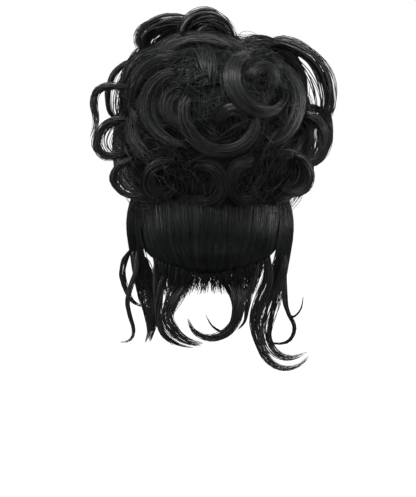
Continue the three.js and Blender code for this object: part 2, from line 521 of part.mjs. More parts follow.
// The hanging locks go up to the cap's hem and the layers' hems
taken = wasm.Manifold.union([capSolid(GAP), ...layers]);
for (const tendril of TENDRILS) addLock(tendril.name, tendrilStations(tendril), TENDRIL_SIDES);

export default wig;
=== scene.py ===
"""An updo wig of black synthetic fibre: cap, swept-up back, a pile of swirled curls, loops and tendrils.

Metres, +Z up, +Y to the front, +X to the right as worn. The origin is inside the hollow, at its very top.
Each lock of hair is some ribbed sub-locks carried along the lock's path, with loose strands wandering over
them. A strand is a clump of fibres that lie together, which is what shows at this size.
"""
from collections import namedtuple

import bpy
import numpy as np
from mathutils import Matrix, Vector


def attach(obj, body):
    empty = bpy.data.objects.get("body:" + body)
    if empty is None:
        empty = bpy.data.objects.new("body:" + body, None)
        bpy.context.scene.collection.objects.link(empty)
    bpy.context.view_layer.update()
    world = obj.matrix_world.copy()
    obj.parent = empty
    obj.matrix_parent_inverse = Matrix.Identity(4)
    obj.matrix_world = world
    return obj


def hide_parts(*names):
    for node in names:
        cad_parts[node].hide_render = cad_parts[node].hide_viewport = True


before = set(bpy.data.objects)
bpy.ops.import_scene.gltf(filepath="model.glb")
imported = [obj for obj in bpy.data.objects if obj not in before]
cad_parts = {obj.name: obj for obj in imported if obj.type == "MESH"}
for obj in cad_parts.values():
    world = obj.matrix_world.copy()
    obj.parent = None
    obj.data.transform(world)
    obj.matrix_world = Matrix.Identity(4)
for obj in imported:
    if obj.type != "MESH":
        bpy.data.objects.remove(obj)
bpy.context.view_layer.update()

bl_info = {
    "name": "Updo Wig",
    "version": (1, 0, 0),
    "blender": (4, 5, 0),
    "location": "3D View > Sidebar > Updo Wig",
    "description": "Builds a black synthetic updo wig with pinned curls, loose loops and tendrils",
    "category": "Add Mesh",
}


def linear(code):
    """Turns an sRGB hex value such as "1c1d1e" to linear red, green, blue and alpha."""
    shares = np.array([int(code[i:i + 2], 16) for i in (0, 2, 4)]) / 255
    values = np.where(shares <= 0.04045, shares / 12.92, ((shares + 0.055) / 1.055) ** 2.4)
    return (*values.tolist(), 1.0)


def length(label, description, metres):
    """A length that a user would change, in metres."""
    return bpy.props.FloatProperty(
        name=label, description=description, default=metres, precision=4, unit="LENGTH")


def share(label, description, value):
    """A share or a plain number that a user would change."""
    return bpy.props.FloatProperty(name=label, description=description, default=value)


def count(label, description, value):
    """How many of something a user would have."""
    return bpy.props.IntProperty(name=label, description=description, default=value, min=0)


def colour(label, description, code):
    """A colour that a user would change, given as an sRGB hex value."""
    return bpy.props.FloatVectorProperty(
        name=label, description=description, default=linear(code), size=4, min=0.0, max=1.0,
        subtype="COLOR")


class WigCap(bpy.types.PropertyGroup):
    """The hollow cap and the smooth hair on it."""

    breadth: length("Hollow breadth", "Inside the cap, side to side", 0.160)
    depth: length("Hollow depth", "Inside the cap, front to back", 0.196)
    crown_height: length("Crown height", "From the widest level up to the crown", 0.095)
    nape_drop: length("Nape drop", "From the crown down to the hem at the nape", 0.147)
    nape_tuck: share("Nape tuck", "How far the cap draws in towards the nape", 0.17)
    side_tuck: share("Side tuck", "How far the cap draws in at the sides", 0.05)
    wall: length("Cap wall", "Net and the hair combed over it", 0.007)
    back_pad: length("Back fullness", "The swept-up back at its fullest", 0.011)
    side_pad: length("Side fullness", "The hair at each side at its fullest", 0.007)
    gap: length("Gap", "Between one layer and the next", 0.0003)
    comb: length("Comb marks", "How deep the combed sections are", 0.00022)


class WigPile(bpy.types.PropertyGroup):
    """The pile of curls on the crown."""

    breadth: length("Pile breadth", "Side to side", 0.202)
    depth: length("Pile depth", "Back to front", 0.220)
    height: length("Pile height", "Bottom to top", 0.200)
    shift: length("Shift", "Of its middle to the right as worn", 0.004)
    set_back: length("Set back", "Of its middle behind the hollow's middle", 0.022)
    lift: length("Lift", "Of its middle above the crown", 0.012)
    lean: bpy.props.FloatProperty(
        name="Lean", description="How far the pile leans back", default=np.radians(14.0), subtype="ANGLE")
    squareness: share("Squareness", "2 is an egg, more is boxier", 2.8)
    curl_width: length("Curl width", "The broad way of a pinned curl", 0.030)
    curl_thick: length("Curl thickness", "The thin way of a pinned curl", 0.013)
    loop_thick: length("Loop thickness", "Half the section of a loose loop", 0.006)
    under_curls: count("Under curls", "Small curls that fill the pile between the big ones", 64)
    frizz: count("Frizz", "Tangled strands over the pile", 850)


class WigHair(bpy.types.PropertyGroup):
    """Hanging locks and loose strands."""

    tendril_thick: length("Tendril thickness", "Half the section of a hanging lock at its root", 0.008)
    tendril_drop: length("Tendril drop", "From the nape hem to the lowest hook", 0.100)
    strand: length("Strand radius", "A clump of fibres lying together", 0.00044)
    stray: length("Stray radius", "A few fibres that stand clear", 0.00022)
    curl_strands: count("Curl strands", "Loose strands over each pinned curl", 58)
    loop_strands: count("Loop strands", "Loose strands over each loop", 56)
    tendril_strands: count("Tendril strands", "Loose strands over each tendril", 56)
    strays: count("Strays", "Thin strands that stand clear of the pile", 800)
    tangle: count("Tangle", "Short strands that cross the curls", 600)
    low_tangle: count("Low tangle", "Short strands that cross the lowest curls", 760)
    nape_fringe: count("Nape fringe", "Fine strands under the hem at the nape", 900)
    fringe_drop: length("Fringe drop", "How far the longest of them hang", 0.046)
    fringe_meeting: length("Fringe meeting", "How far to each side they draw together", 0.048)


class WigColours(bpy.types.PropertyGroup):
    """The colours of the fibre, the net and the floor."""

    # The darkest streaks of the fibre are painted shade, for the gaps between the strands
    deep: colour("Deep black", "Between the strands", "040508")
    body: colour("Soft black", "The strands themselves", "0f1112")
    # The palest streaks are partly paler strands and partly painted sheen, greyed and tinted like lit hair
    bright: colour("Greyed black", "The palest strands", "393d37")
    net: colour("Net", "The inside of the cap", "101011")
    floor: colour("Floor", "The studio floor", "f4f4f3")


class WigStudio(bpy.types.PropertyGroup):
    """The floor, the lights and the camera."""

    floor_drop: length("Floor drop", "How far below the crown the floor lies", 0.60)
    distance: length("Camera distance", "From the camera to the pile's middle", 2.4)
    view_height: length("View height", "How much the picture takes in, top to bottom", 0.5467)
    aim_across: length("Aim across", "Of the picture's middle, to the right", -0.0022)
    aim_back: length("Aim back", "Of the picture's middle, behind the crown", 0.04)
    aim_height: length("Aim height", "Of the picture's middle, above the crown", -0.118)
    ambient: share("Ambient light", "Light from all round", 0.3)
    key: share("Key light", "Power of the softbox above, in watts", 66.0)


# The lower edge of the cap: how far it hangs below the crown, as a share of the nape drop, at each angle
# from the nape (0) round the side (80) to the front (180).
HEM = ((0, 1.0), (45, 0.88), (80, 0.64), (120, 0.5), (180, 0.4))

# How full a layer of smooth hair is, from under the pile (0) to its hem (1)
BACK_SWELL = ((0, 0.45), (0.3, 0.7), (0.72, 1.0), (0.9, 0.85), (1.0, 0.35))
SIDE_SWELL = ((0, 0.5), (0.5, 0.8), (1.0, 0.4))

# Smooth hair over the cap. Its middle is at an angle from the nape, and it spreads that many degrees to
# each side at its top and at its hem. top and hem are shares of the nape drop, rise is how much higher the
# hem is at the edges, ragged how uneven it is, and trail how far past it the longest strands go.
Layer = namedtuple(
    "Layer", "name middle spread_top spread_hem top hem rise swell ragged trail columns strands")
LAYERS = (
    Layer("back_sweep", 0, 66, 46, 0.34, 1.01, 0.13, BACK_SWELL, 0.0, 0.08, 400, 560),
    Layer("side_sweep_right", 84, 16, 27, 0.3, 0.9, 0.06, SIDE_SWELL, 0.022, 0.6, 130, 480),
    Layer("side_sweep_left", -84, 16, 27, 0.3, 0.87, 0.06, SIDE_SWELL, 0.022, 0.6, 130, 480),
)

# Curls pinned on the pile, each drawn as seen from one side: view is that side's angle from the back (0)
# towards the right (90), and tilt how far above level it is. across, up and radius are shares of half the
# pile's breadth. The curl winds from the angle start over wind degrees, as its radius goes to grow times
# itself. width and thick are shares of the curl width and thickness, and lift is how far its middle stands
# clear, as a share of its thickness.
Curl = namedtuple("Curl", "name view tilt across up radius start wind grow width thick lift")
CURLS = (
    Curl("curl_rosette_ring", 0, 0, 0.45, 0.42, 0.3, 100, 238, 0.95, 0.62, 1.0, 0.35),
    Curl("curl_rosette_heart", 0, 0, 0.45, 0.41, 0.13, 170, -200, 0.85, 0.5, 1.0, 0.25),
    Curl("curl_centre_hook", 0, 0, 0.12, 0.09, 0.42, 152, 235, 0.58, 0.6, 1.1, 0.35),
    Curl("curl_left_crescent", 0, 0, -0.26, 0.17, 0.36, 105, 178, 0.95, 0.58, 1.1, 0.35),
    Curl("curl_centre_fall", 0, 0, -0.68, 0.46, 0.64, 36, -40, 1.0, 0.8, 0.9, 0.25),
    Curl("curl_rosette_outer", 0, 0, 0.38, 0.22, 0.46, 62, -138, 0.95, 0.55, 1.0, 0.25),
    Curl("curl_centre_swirl", 0, 0, 0.18, 0.04, 0.12, 200, -250, 0.85, 0.5, 0.9, 0.1),
    Curl("curl_left_inner", 0, 0, -0.28, 0.17, 0.16, 90, 230, 0.85, 0.6, 0.9, 0.15),
    Curl("curl_crown_arch", 0, 0, -0.12, 0.36, 0.58, 138, -92, 1.0, 0.95, 1.3, 0.3),
    Curl("curl_crown_right", 0, 0, 0.5, 0.34, 0.6, 108, -100, 1.0, 0.8, 1.3, 0.35),
    Curl("curl_right_fall", 0, 0, 0.38, 0.18, 0.64, 22, -92, 0.95, 0.6, 1.2, 0.25),
    Curl("curl_brow_inner", 0, 0, -0.2, 0.06, 0.66, 104, 62, 1.0, 0.75, 1.0, 0.25),
    Curl("curl_brow_outer", 0, 0, -0.15, 0.0, 0.91, 106, 52, 1.0, 0.75, 1.3, 0.3),
    Curl("curl_left_middle", 0, 0, -0.42, 0.06, 0.41, 165, 100, 1.0, 0.6, 1.0, 0.25),
    Curl("curl_left_outer", 0, 0, -0.45, 0.0, 0.62, 158, 122, 0.95, 0.65, 1.3, 0.3),
    Curl("curl_low_left", 0, 0, -0.46, -0.5, 0.16, 70, 250, 0.85, 0.55, 1.1, 0.3),
    Curl("curl_low_middle", 0, 0, -0.08, -0.53, 0.17, 130, -260, 0.85, 0.55, 1.1, 0.3),
    Curl("curl_low_inner", 0, 0, 0.31, -0.51, 0.17, 60, 255, 0.85, 0.55, 1.1, 0.3),
    Curl("curl_low_right", 30, 0, 0.32, -0.46, 0.2, 130, -280, 0.85, 0.6, 1.2, 0.3),
    Curl("curl_right_side", 80, 0, 0.12, -0.16, 0.38, 110, -290, 0.6, 1.05, 1.4, 0.35),
    Curl("curl_right_temple", 108, 28, 0.0, 0.0, 0.36, 200, -280, 0.6, 1.05, 1.4, 0.35),
    Curl("curl_left_side", -86, 0, -0.08, -0.2, 0.38, 80, 290, 0.6, 1.05, 1.4, 0.35),
    Curl("curl_left_temple", -106, 28, 0.0, 0.0, 0.36, -20, 280, 0.6, 1.05, 1.4, 0.35),
    Curl("curl_front_right", 156, 0, 0.0, -0.08, 0.38, 60, -300, 0.6, 1.1, 1.4, 0.35),
    Curl("curl_front_left", -154, 0, 0.0, -0.06, 0.38, 120, 300, 0.6, 1.1, 1.4, 0.35),
    Curl("curl_forecrown", 180, 42, 0.0, 0.0, 0.36, 200, -290, 0.6, 1.1, 1.4, 0.35),
    Curl("curl_crown_left", -75, 68, 0.0, 0.0, 0.28, 250, -270, 0.7, 0.9, 1.2, 0.3),
)

# How a loose lock parts into sub-locks: how many there are, how fine they are, how many strands go over
# them as a share of the usual, how far they open out at half the lock's length, how far they stray, the
# share of its length at which the shortest end, how much of its width the lock has at its root, and how
# many strands are drawn in across it.
Parting = namedtuple("Parting", "bodies finely strands split stray shortest pinch inner")
ROLL = Parting(9, 0.24, 1.0, 0.3, 0.14, 1.0, 0.4, 90)
BROAD = ROLL._replace(inner=22)
NARROW = Parting(5, 0.28, 1.0, 0.55, 0.3, 1.0, 0.4, 22)
FREE = NARROW._replace(shortest=0.8, inner=0)
FULL = Parting(11, 0.26, 1.3, 0.15, 0.2, 0.84, 0.4, 0)
FANNED = FULL._replace(bodies=9, finely=0.11, pinch=1.0)
SLIM = FULL._replace(bodies=7, finely=0.15, strands=0.8, split=0.35)
FINE = FULL._replace(bodies=4, finely=0.32, strands=0.7, split=0.3)

# Loose locks. wide and deep are half thicknesses seen from behind and from the side, tip is how much of
# them is left at the end, fan how many times as wide the root is, and turn how many degrees the lock's
# flat side is turned from the back.
Loose = namedtuple("Loose", "name parting wide deep tip fan turn path")

# Loops and rolls, with sizes in shares of the loop thickness. Each point is (across, back, up) from the
# middle of the pile, in shares of half its breadth, depth and height.
LOOPS = (
    Loose("top_roll", ROLL, 1.45, 3.8, 0.8, 1, 0, (
        (-0.33, 0.12, 0.9), (-0.35, 0.12, 1.06), (-0.24, 0.12, 1.19), (-0.06, 0.12, 1.24),
        (0.1, 0.12, 1.16), (0.18, 0.1, 1.02), (0.18, 0.08, 0.88))),
    Loose("top_roll_heart", ROLL, 1.45, 3.4, 0.9, 1, 0, (
        (-0.16, 0.14, 0.86), (-0.17, 0.14, 0.98), (-0.08, 0.14, 1.06), (0.02, 0.14, 1.0),
        (0.02, 0.12, 0.86))),
    Loose("top_sweep", ROLL, 1.3, 3.0, 0.35, 1, 0, (
        (-0.2, 0.12, 1.17), (-0.39, 0.12, 1.185), (-0.56, 0.13, 1.17), (-0.7, 0.14, 1.12),
        (-0.785, 0.14, 1.04), (-0.79, 0.14, 0.96), (-0.74, 0.12, 0.88), (-0.66, 0.1, 0.76))),
    Loose("loop_shoulder", BROAD, 1.15, 2.4, 0.6, 1, 0, (
        (0.5, 0.1, 0.84), (0.7, 0.14, 0.96), (0.92, 0.18, 0.9), (1.14, 0.2, 0.72), (1.25, 0.2, 0.46),
        (1.24, 0.18, 0.2), (1.1, 0.14, 0.06), (0.92, 0.1, 0.0))),
    Loose("loop_right_high", NARROW, 0.42, 0.9, 0.7, 1, 0, (
        (0.94, 0.0, 0.3), (1.14, 0.0, 0.25), (1.24, 0.0, 0.18), (1.265, 0.0, 0.05), (1.255, 0.0, -0.11),
        (1.2, 0.0, -0.27), (1.1, 0.0, -0.36), (0.92, 0.0, -0.32))),
    Loose("loop_right_low", NARROW, 0.55, 1.0, 0.7, 1, 0, (
        (0.84, 0.34, 0.14), (1.06, 0.38, 0.13), (1.17, 0.38, 0.02), (1.18, 0.38, -0.16),
        (1.13, 0.38, -0.31), (1.0, 0.38, -0.36), (0.84, 0.36, -0.28))),
    Loose("loop_right_curl", NARROW, 0.55, 1.1, 0.6, 1, 0, (
        (0.76, 0.5, -0.26), (0.96, 0.54, -0.34), (1.03, 0.54, -0.5), (0.97, 0.54, -0.66),
        (0.82, 0.54, -0.7), (0.66, 0.52, -0.6))),
    Loose("loop_left_wing", FREE, 0.42, 0.9, 0.8, 1, 0, (
        (-0.8, 0.25, 0.46), (-1.0, 0.28, 0.47), (-1.14, 0.3, 0.47), (-1.25, 0.3, 0.43), (-1.3, 0.3, 0.34),
        (-1.29, 0.3, 0.22), (-1.27, 0.3, 0.1), (-1.29, 0.3, 0.0), (-1.33, 0.3, -0.1))),
    Loose("loop_left_brow", NARROW, 0.3, 0.7, 0.6, 1, 0, (
        (-0.74, 0.0, 0.8), (-0.96, 0.02, 0.75), (-1.09, 0.04, 0.63), (-1.15, 0.04, 0.48),
        (-1.16, 0.02, 0.34), (-1.12, 0.0, 0.18), (-0.98, 0.0, 0.08))),
    Loose("loop_left_ring", NARROW, 0.5, 0.7, 0.7, 1, 0, (
        (-0.9, 0.4, 0.1), (-1.09, 0.42, 0.08), (-1.21, 0.42, -0.02), (-1.26, 0.42, -0.17),
        (-1.17, 0.42, -0.29), (-0.9, 0.4, -0.26))),
    Loose("loop_left_low", NARROW, 0.34, 0.8, 0.5, 1, 0, (
        (-0.84, 0.52, -0.3), (-1.03, 0.54, -0.42), (-1.08, 0.54, -0.56), (-0.98, 0.54, -0.69),
        (-0.82, 0.54, -0.74), (-0.62, 0.54, -0.66))),
)

# Hanging locks, with sizes in shares of the tendril thickness. Each point is (across, back, hang): across
# and back in shares of the cap's outer half breadth and half depth, and hang below the nape hem as a share
# of the tendril drop.
TENDRILS = (
    Loose("tendril_left_straight", FULL, 1.0, 0.45, 0.25, 1, 0, (
        (-0.95, 0.3, -0.27), (-0.82, 0.3, 0.0), (-0.75, 0.28, 0.24), (-0.73, 0.26, 0.44),
        (-0.74, 0.24, 0.62), (-0.78, 0.23, 0.76))),
    Loose("tendril_left_bow", FINE, 0.32, 0.45, 0.5, 1, 0, (
        (-1.02, 0.12, -0.27), (-1.1, 0.1, -0.14), (-1.12, 0.08, 0.02), (-1.07, 0.06, 0.18),
        (-0.99, 0.05, 0.3), (-0.84, 0.05, 0.37))),
    Loose("tendril_left_curl", FINE, 0.28, 0.4, 0.5, 1, 0, (
        (-0.92, 0.43, -0.26), (-0.93, 0.46, -0.05), (-1.0, 0.47, 0.12), (-1.04, 0.45, 0.29),
        (-1.01, 0.43, 0.45), (-0.965, 0.41, 0.59), (-0.98, 0.4, 0.69), (-1.05, 0.4, 0.735),
        (-1.15, 0.39, 0.735))),
    Loose("tendril_left_inner", FINE, 0.36, 0.4, 0.3, 1, 0, (
        (-0.68, 0.68, -0.18), (-0.67, 0.66, 0.08), (-0.66, 0.64, 0.36), (-0.6, 0.62, 0.64),
        (-0.44, 0.6, 0.77))),
    Loose("tendril_left_front", SLIM, 0.5, 0.5, 0.3, 1, 0, (
        (-1.0, -0.14, -0.28), (-0.93, -0.15, 0.0), (-0.86, -0.16, 0.28), (-0.8, -0.16, 0.52),
        (-0.79, -0.16, 0.66), (-0.84, -0.16, 0.78))),
    Loose("tendril_right_hook_high", SLIM, 0.8, 0.5, 0.12, 1, 0, (
        (0.93, 0.2, -0.24), (0.86, 0.2, -0.08), (0.825, 0.19, 0.1), (0.81, 0.19, 0.26),
        (0.76, 0.18, 0.42), (0.72, 0.17, 0.57), (0.74, 0.16, 0.75), (0.86, 0.15, 0.895), (1.05, 0.14, 0.93),
        (1.27, 0.14, 0.85))),
    Loose("tendril_right_hook_low", SLIM, 0.55, 0.4, 0.3, 1, 0, (
        (0.72, 0.6, -0.26), (0.73, 0.61, 0.05), (0.64, 0.6, 0.26), (0.57, 0.58, 0.48), (0.62, 0.56, 0.74),
        (0.73, 0.55, 0.93), (0.92, 0.54, 1.02), (1.13, 0.53, 0.98), (1.26, 0.52, 0.86))),
    Loose("tendril_right_inner", SLIM, 0.5, 0.4, 0.35, 1, 0, (
        (0.94, 0.4, -0.22), (0.92, 0.42, 0.0), (0.82, 0.43, 0.17), (0.66, 0.44, 0.3),
        (0.54, 0.44, 0.44), (0.5, 0.44, 0.58))),
    Loose("tendril_right_loop", FINE, 0.26, 0.4, 0.35, 1, 0, (
        (0.98, -0.08, -0.27), (0.96, -0.09, 0.1), (1.0, -0.1, 0.42), (1.09, -0.1, 0.6),
        (1.02, -0.11, 0.75), (0.84, -0.12, 0.78), (0.66, -0.12, 0.71))),
    Loose("tendril_right_wisp", FINE, 0.15, 0.3, 0.4, 1, 0, (
        (0.98, 0.05, -0.27), (0.96, 0.04, -0.1), (0.95, 0.03, 0.14), (0.96, 0.02, 0.34), (1.05, 0.02, 0.48),
        (1.16, 0.02, 0.4), (1.2, 0.02, 0.24))),
    Loose("nape_left_sweep", FANNED, 0.8, 0.34, 0.5, 2.6, -26, (
        (-0.3, 0.8, -0.03), (-0.4, 0.82, 0.14), (-0.49, 0.86, 0.31), (-0.54, 0.85, 0.46),
        (-0.45, 0.84, 0.6), (-0.28, 0.83, 0.71), (-0.08, 0.82, 0.745))),
    Loose("nape_left_strand", FINE, 0.36, 0.34, 0.3, 1, 0, (
        (-0.5, 0.75, -0.12), (-0.6, 0.75, 0.12), (-0.64, 0.75, 0.4), (-0.6, 0.74, 0.6),
        (-0.42, 0.73, 0.74), (-0.2, 0.72, 0.79))),
    Loose("nape_right_sweep", FANNED, 0.6, 0.34, 0.3, 2.8, 24, (
        (0.26, 0.81, -0.03), (0.33, 0.83, 0.15), (0.355, 0.86, 0.33), (0.3, 0.85, 0.51),
        (0.16, 0.84, 0.64), (-0.03, 0.83, 0.67), (-0.2, 0.82, 0.6), (-0.28, 0.82, 0.46))),
    Loose("nape_middle_hook", FINE, 0.22, 0.3, 0.3, 1, 0, (
        (0.06, 0.85, -0.01), (0.2, 0.8, 0.12), (0.29, 0.77, 0.3), (0.29, 0.76, 0.48), (0.17, 0.76, 0.61),
        (0.03, 0.76, 0.55), (-0.06, 0.76, 0.42))),
    Loose("nape_right_strand", FINE, 0.34, 0.34, 0.3, 1, 0, (
        (0.6, 0.74, -0.16), (0.55, 0.76, 0.03), (0.485, 0.77, 0.2), (0.46, 0.77, 0.36), (0.43, 0.76, 0.5),
        (0.33, 0.76, 0.6))),
)

# A curl keeps this share of its size at its ends, which sink by the same share of its thickness, and past
# the pile's edge as its view sees it stays this far on the side that is seen. It is this many times as wide
# at its root, and loses so much of its width to its tail.
CURL_END = 0.6
NEAR_SIDE = 0.17
CURL_ROOT = 1.15
CURL_LOSS = 0.5

# The least share of a layer's fullness, at its edges, and the counts of comb marks across its half
EDGE_PAD = 0.12
COMB_MARKS = (37, 67, 107, 151)

# Factors on points: to keep only their level part, and to turn how far back they are to how far in front
LEVEL = np.array([1.0, 1.0, 0.0])
BACKWARDS = np.array([1.0, -1.0, 1.0])

# The power by which a loose lock narrows to its tip, and the share of its length over which a fan draws in
TIP_TAPER = 2.5
FAN_REACH = 0.5

# How far each lock's and strand's own place on the strand map lies from the last one's, in metres
LANE = 0.0137

# Where the random draws of each kind of hair start, so that it comes out the same every time. A layer, curl,
# loop or tendril adds its number in its table.
SEEDS = {"hems": 5, "layers": 11, "pile": 23, "strays": 77, "curls": 300, "loops": 500, "tendrils": 700}

# A closed surface: its points, its faces of four corners and of three, and the same corners' places on
# the strand map, across the strands and along them, both in metres.
Surface = namedtuple("Surface", "points quads quad_map tris tri_map")

# Paths with a frame: at each station the point, the way across the lock and the way out of it, and half
# of how broad the lock is across and how thick it is out.
Path = namedtuple("Path", "point side out broad thin")


def unit(vectors):
    """Vectors made one long."""
    return vectors / np.maximum(np.linalg.norm(vectors, axis=-1, keepdims=True), 1e-12)


def mix(low, high, amount):
    """low (1 - amount) + high amount."""
    return low + (high - low) * amount


def even(number):
    """Even shares of the way along, from 0 to 1, in one row."""
    return np.linspace(0.0, 1.0, number)[None]


def draws(kind, number=0):
    """The random draws of one kind of hair, or of one lock of that kind."""
    return np.random.default_rng(SEEDS[kind] + number)


def eased(rows, at):
    """A table read between its rows, easing from each to the next: low + (high - low)(3 s^2 - 2 s^3)."""
    keys, values = np.array(rows, float).T
    place = np.clip(np.searchsorted(keys, at, side="left"), 1, len(keys) - 1)
    part = np.clip((at - keys[place - 1]) / (keys[place] - keys[place - 1]), 0.0, 1.0)
    return mix(values[place - 1], values[place], part**2 * (3 - 2 * part))


def fall_of(cap, depth):
    """The angle down from the crown at a depth below it: arc cosine to the widest level, then in step."""
    tall = cap.crown_height
    arc = np.arccos(np.clip(1 - depth / tall, -1.0, 1.0))
    return np.where(depth > tall, np.pi / 2 + (depth - tall) / tall, arc)


def cap_points(cap, turn, fall, offset):
    """Points of the cap, an ellipsoid above the widest level and a tucked-in wall below it.

    x = (breadth/2 + offset) girth sin(turn) and y = -(depth/2 + offset) girth cos(turn), where girth is
    sin(fall) above the widest level and 1 - tuck (over/reach)^2 below it.
    """
    over = np.maximum(0.0, fall - np.pi / 2)
    tuck = mix(cap.side_tuck, cap.nape_tuck, np.maximum(0.0, np.cos(turn)) ** 2)
    reach = fall_of(cap, cap.nape_drop) - np.pi / 2
    girth = np.where(over > 0, 1 - tuck * (over / reach) ** 2, np.sin(fall))
    height = np.where(over > 0, -cap.crown_height * over, (cap.crown_height + offset) * np.cos(fall))
    x = (cap.breadth / 2 + offset) * girth * np.sin(turn)
    y = -(cap.depth / 2 + offset) * girth * np.cos(turn)
    return np.stack(np.broadcast_arrays(x, y, height - cap.crown_height), axis=-1)


def hem_drop(cap, turn):
    """How far the cap's hem hangs below the crown at a turn from the nape."""
    return cap.nape_drop * eased(HEM, np.degrees(np.abs(np.arctan2(np.sin(turn), np.cos(turn)))))


def pile_sizes(pile):
    """Half the pile's breadth, depth and height, and its middle."""
    half = np.array([pile.breadth, pile.depth, pile.height]) / 2
    return half, np.array([pile.shift, -pile.set_back, pile.lift])


def pile_points(pile, toward, lift):
    """Points and normals of the pile in the directions toward from its middle, raised by lift.

    In its own leaning axes the pile is the superellipsoid (x^2/a^2 + y^2/b^2)^(n/2) + |z/c|^n = 1.
    """
    level, steep, power = np.cos(pile.lean), np.sin(pile.lean), pile.squareness
    turned = np.array([[1, 0, 0], [0, level, -steep], [0, steep, level]])
    half, middle = pile_sizes(pile)
    local = toward @ turned / half
    plan = np.hypot(local[..., 0], local[..., 1])[..., None]
    high = local[..., 2:]
    size = (plan**power + np.abs(high) ** power) ** (1 / power)
    slope = [local[..., :2] * plan ** (power - 2), np.abs(high) ** (power - 2) * high]
    normal = unit(np.concatenate(slope, axis=-1) / half @ turned.T)
    point = local / size * half @ turned.T + middle
    return point + normal * np.asarray(lift)[..., None], normal


def spiral(pile, curl, along, start=0.0, wind=1.0, reach=0.0, rise=0.0, sink=1.0):
    """Paths of a curl on the pile, one row each: points and normals.

    A path runs at across + r cos(a), up + r sin(a) as the curl's view sees it, with the angle
    a = start + wind s and r = radius grow^s + reach, and its ends sink into the pile.
    """
    angle = np.radians(curl.start + start + curl.wind * wind * along)
    far = curl.radius * curl.grow**along + reach
    across = curl.across + far * np.cos(angle)
    up = curl.up + far * np.sin(angle)
    near = np.sqrt(np.maximum(NEAR_SIDE**2, 1 - across**2 - up**2))
    tilt, view = np.radians(curl.tilt), np.radians(curl.view)
    y, z = up * np.sin(tilt) - near * np.cos(tilt), near * np.sin(tilt) + up * np.cos(tilt)
    x, y = across * np.cos(view) - y * np.sin(view), across * np.sin(view) + y * np.cos(view)
    toward = unit(np.stack([x, y, z], axis=-1))
    arch = np.clip(np.sin(np.pi * along), 0.0, 1.0) ** 0.4
    lift = curl.thick * pile.curl_thick * mix(-CURL_END * sink, curl.lift, arch) + rise
    return pile_points(pile, toward, lift)


def smooth_path(points, steps):
    """A curve through points, a centripetal Catmull-Rom spline, at even steps of its length."""
    points = np.asarray(points, float)
    ends = [2 * points[0] - points[1], *points, 2 * points[-1] - points[-2]]
    t = np.linspace(0.0, 1.0, 24, endpoint=False)[:, None]
    pieces = []
    for p0, p1, p2, p3 in zip(ends, ends[1:], ends[2:], ends[3:]):
        d0, d1, d2 = (np.sqrt(np.linalg.norm(b - a)) for a, b in ((p0, p1), (p1, p2), (p2, p3)))
        m1 = ((p1 - p0) / d0 - (p2 - p0) / (d0 + d1) + (p2 - p1) / d1) * d1
        m2 = ((p2 - p1) / d1 - (p3 - p1) / (d1 + d2) + (p3 - p2) / d2) * d1
        pieces.append((2 * t**3 - 3 * t**2 + 1) * p1 + (t**3 - 2 * t**2 + t) * m1
                      + (3 * t**2 - 2 * t**3) * p2 + (t**3 - t**2) * m2)
    fine = np.concatenate([*pieces, points[-1:]])
    run = np.concatenate([[0.0], np.cumsum(np.linalg.norm(np.diff(fine, axis=0), axis=1))])
    stations = np.linspace(0.0, run[-1], steps)
    return np.stack([np.interp(stations, run, fine[:, k]) for k in range(3)], axis=-1)


def loose_path(lock, points, size, steps):
    """A loose lock's path, broad from back to front, narrowing by 1 - (1 - tip) s^taper to its tip."""
    point = smooth_path(points, steps)
    tangent = unit(np.gradient(point, axis=0))
    turn = np.radians(lock.turn)
    back = np.array([np.sin(turn), -np.cos(turn), 0.0])
    side = unit(back - tangent * (tangent @ back)[:, None])
    along = np.linspace(0.0, 1.0, steps)
    full = size * (1 - (1 - lock.tip) * along**TIP_TAPER)
    fanned = mix(lock.fan, 1.0, np.minimum(1.0, along / FAN_REACH) ** 0.5)
    return Path(point, side, np.cross(tangent, side), lock.deep * full, lock.wide * full * fanned)


def cells(grid):
    """What a grid holds at the four corners of each of its cells, going round the cell."""
    return np.stack([grid[..., :-1, :-1, :], grid[..., :-1, 1:, :], grid[..., 1:, 1:, :],
                     grid[..., 1:, :-1, :]], axis=-2)


def faces(numbers):
    """Faces of four corners over a grid of points' numbers."""
    return cells(numbers[..., None]).reshape(-1, 4)


def closed(rings):
    """Rings of points' numbers, each with its first again at its end."""
    return np.concatenate([rings, rings[..., :1]], axis=-1)


def carried(point, side, out, broad, thin, around, ribs=1.0, first=0):
    """Tubes carried along paths: each ring is point + rib (side broad cos(a) + out thin sin(a)).

    point, side and out hold many tubes at once, one row of stations each; broad and thin are half sizes.
    first is the place of the first tube on the strand map, counted in lanes.
    """
    tubes, steps = point.shape[:2]
    angle = np.linspace(0.0, 2 * np.pi, around, endpoint=False)
    rib = np.broadcast_to(ribs, (tubes, steps, around))
    across = (rib * np.cos(angle) * broad[..., None])[..., None] * side[:, :, None]
    through = (rib * np.sin(angle) * thin[..., None])[..., None] * out[:, :, None]
    points = (point[:, :, None] + across + through).reshape(-1, 3)
    rings = np.arange(len(points)).reshape(tubes, steps, around)
    girth = np.pi * (broad + thin).mean(axis=1)
    lane = (np.arange(tubes) + first) * LANE
    u = np.linspace(0, 1, around + 1)[None] * girth[:, None] + lane[:, None]
    run = np.linalg.norm(np.diff(point, axis=1), axis=-1)
    v = np.concatenate([np.zeros((tubes, 1)), np.cumsum(run, axis=1)], axis=1) + lane[:, None]
    places = np.stack(np.broadcast_arrays(u[:, None], v[..., None]), axis=-1)
    fan = np.arange(1, around - 1)
    root = rings[:, 0, :1] + np.zeros_like(fan)
    begin = np.stack([root, root + fan + 1, root + fan], axis=-1)
    end = np.stack([root, root + fan, root + fan + 1], axis=-1) + (steps - 1) * around
    tris = np.stack([begin, end], axis=1).reshape(-1, 3)
    tri_map = np.repeat(places[:, [0, -1], 0].reshape(-1, 1, 2), len(fan) * 3, axis=1)
    return Surface(points, faces(closed(rings)), cells(places).reshape(-1, 4, 2), tris,
                   tri_map.reshape(-1, 3, 2))


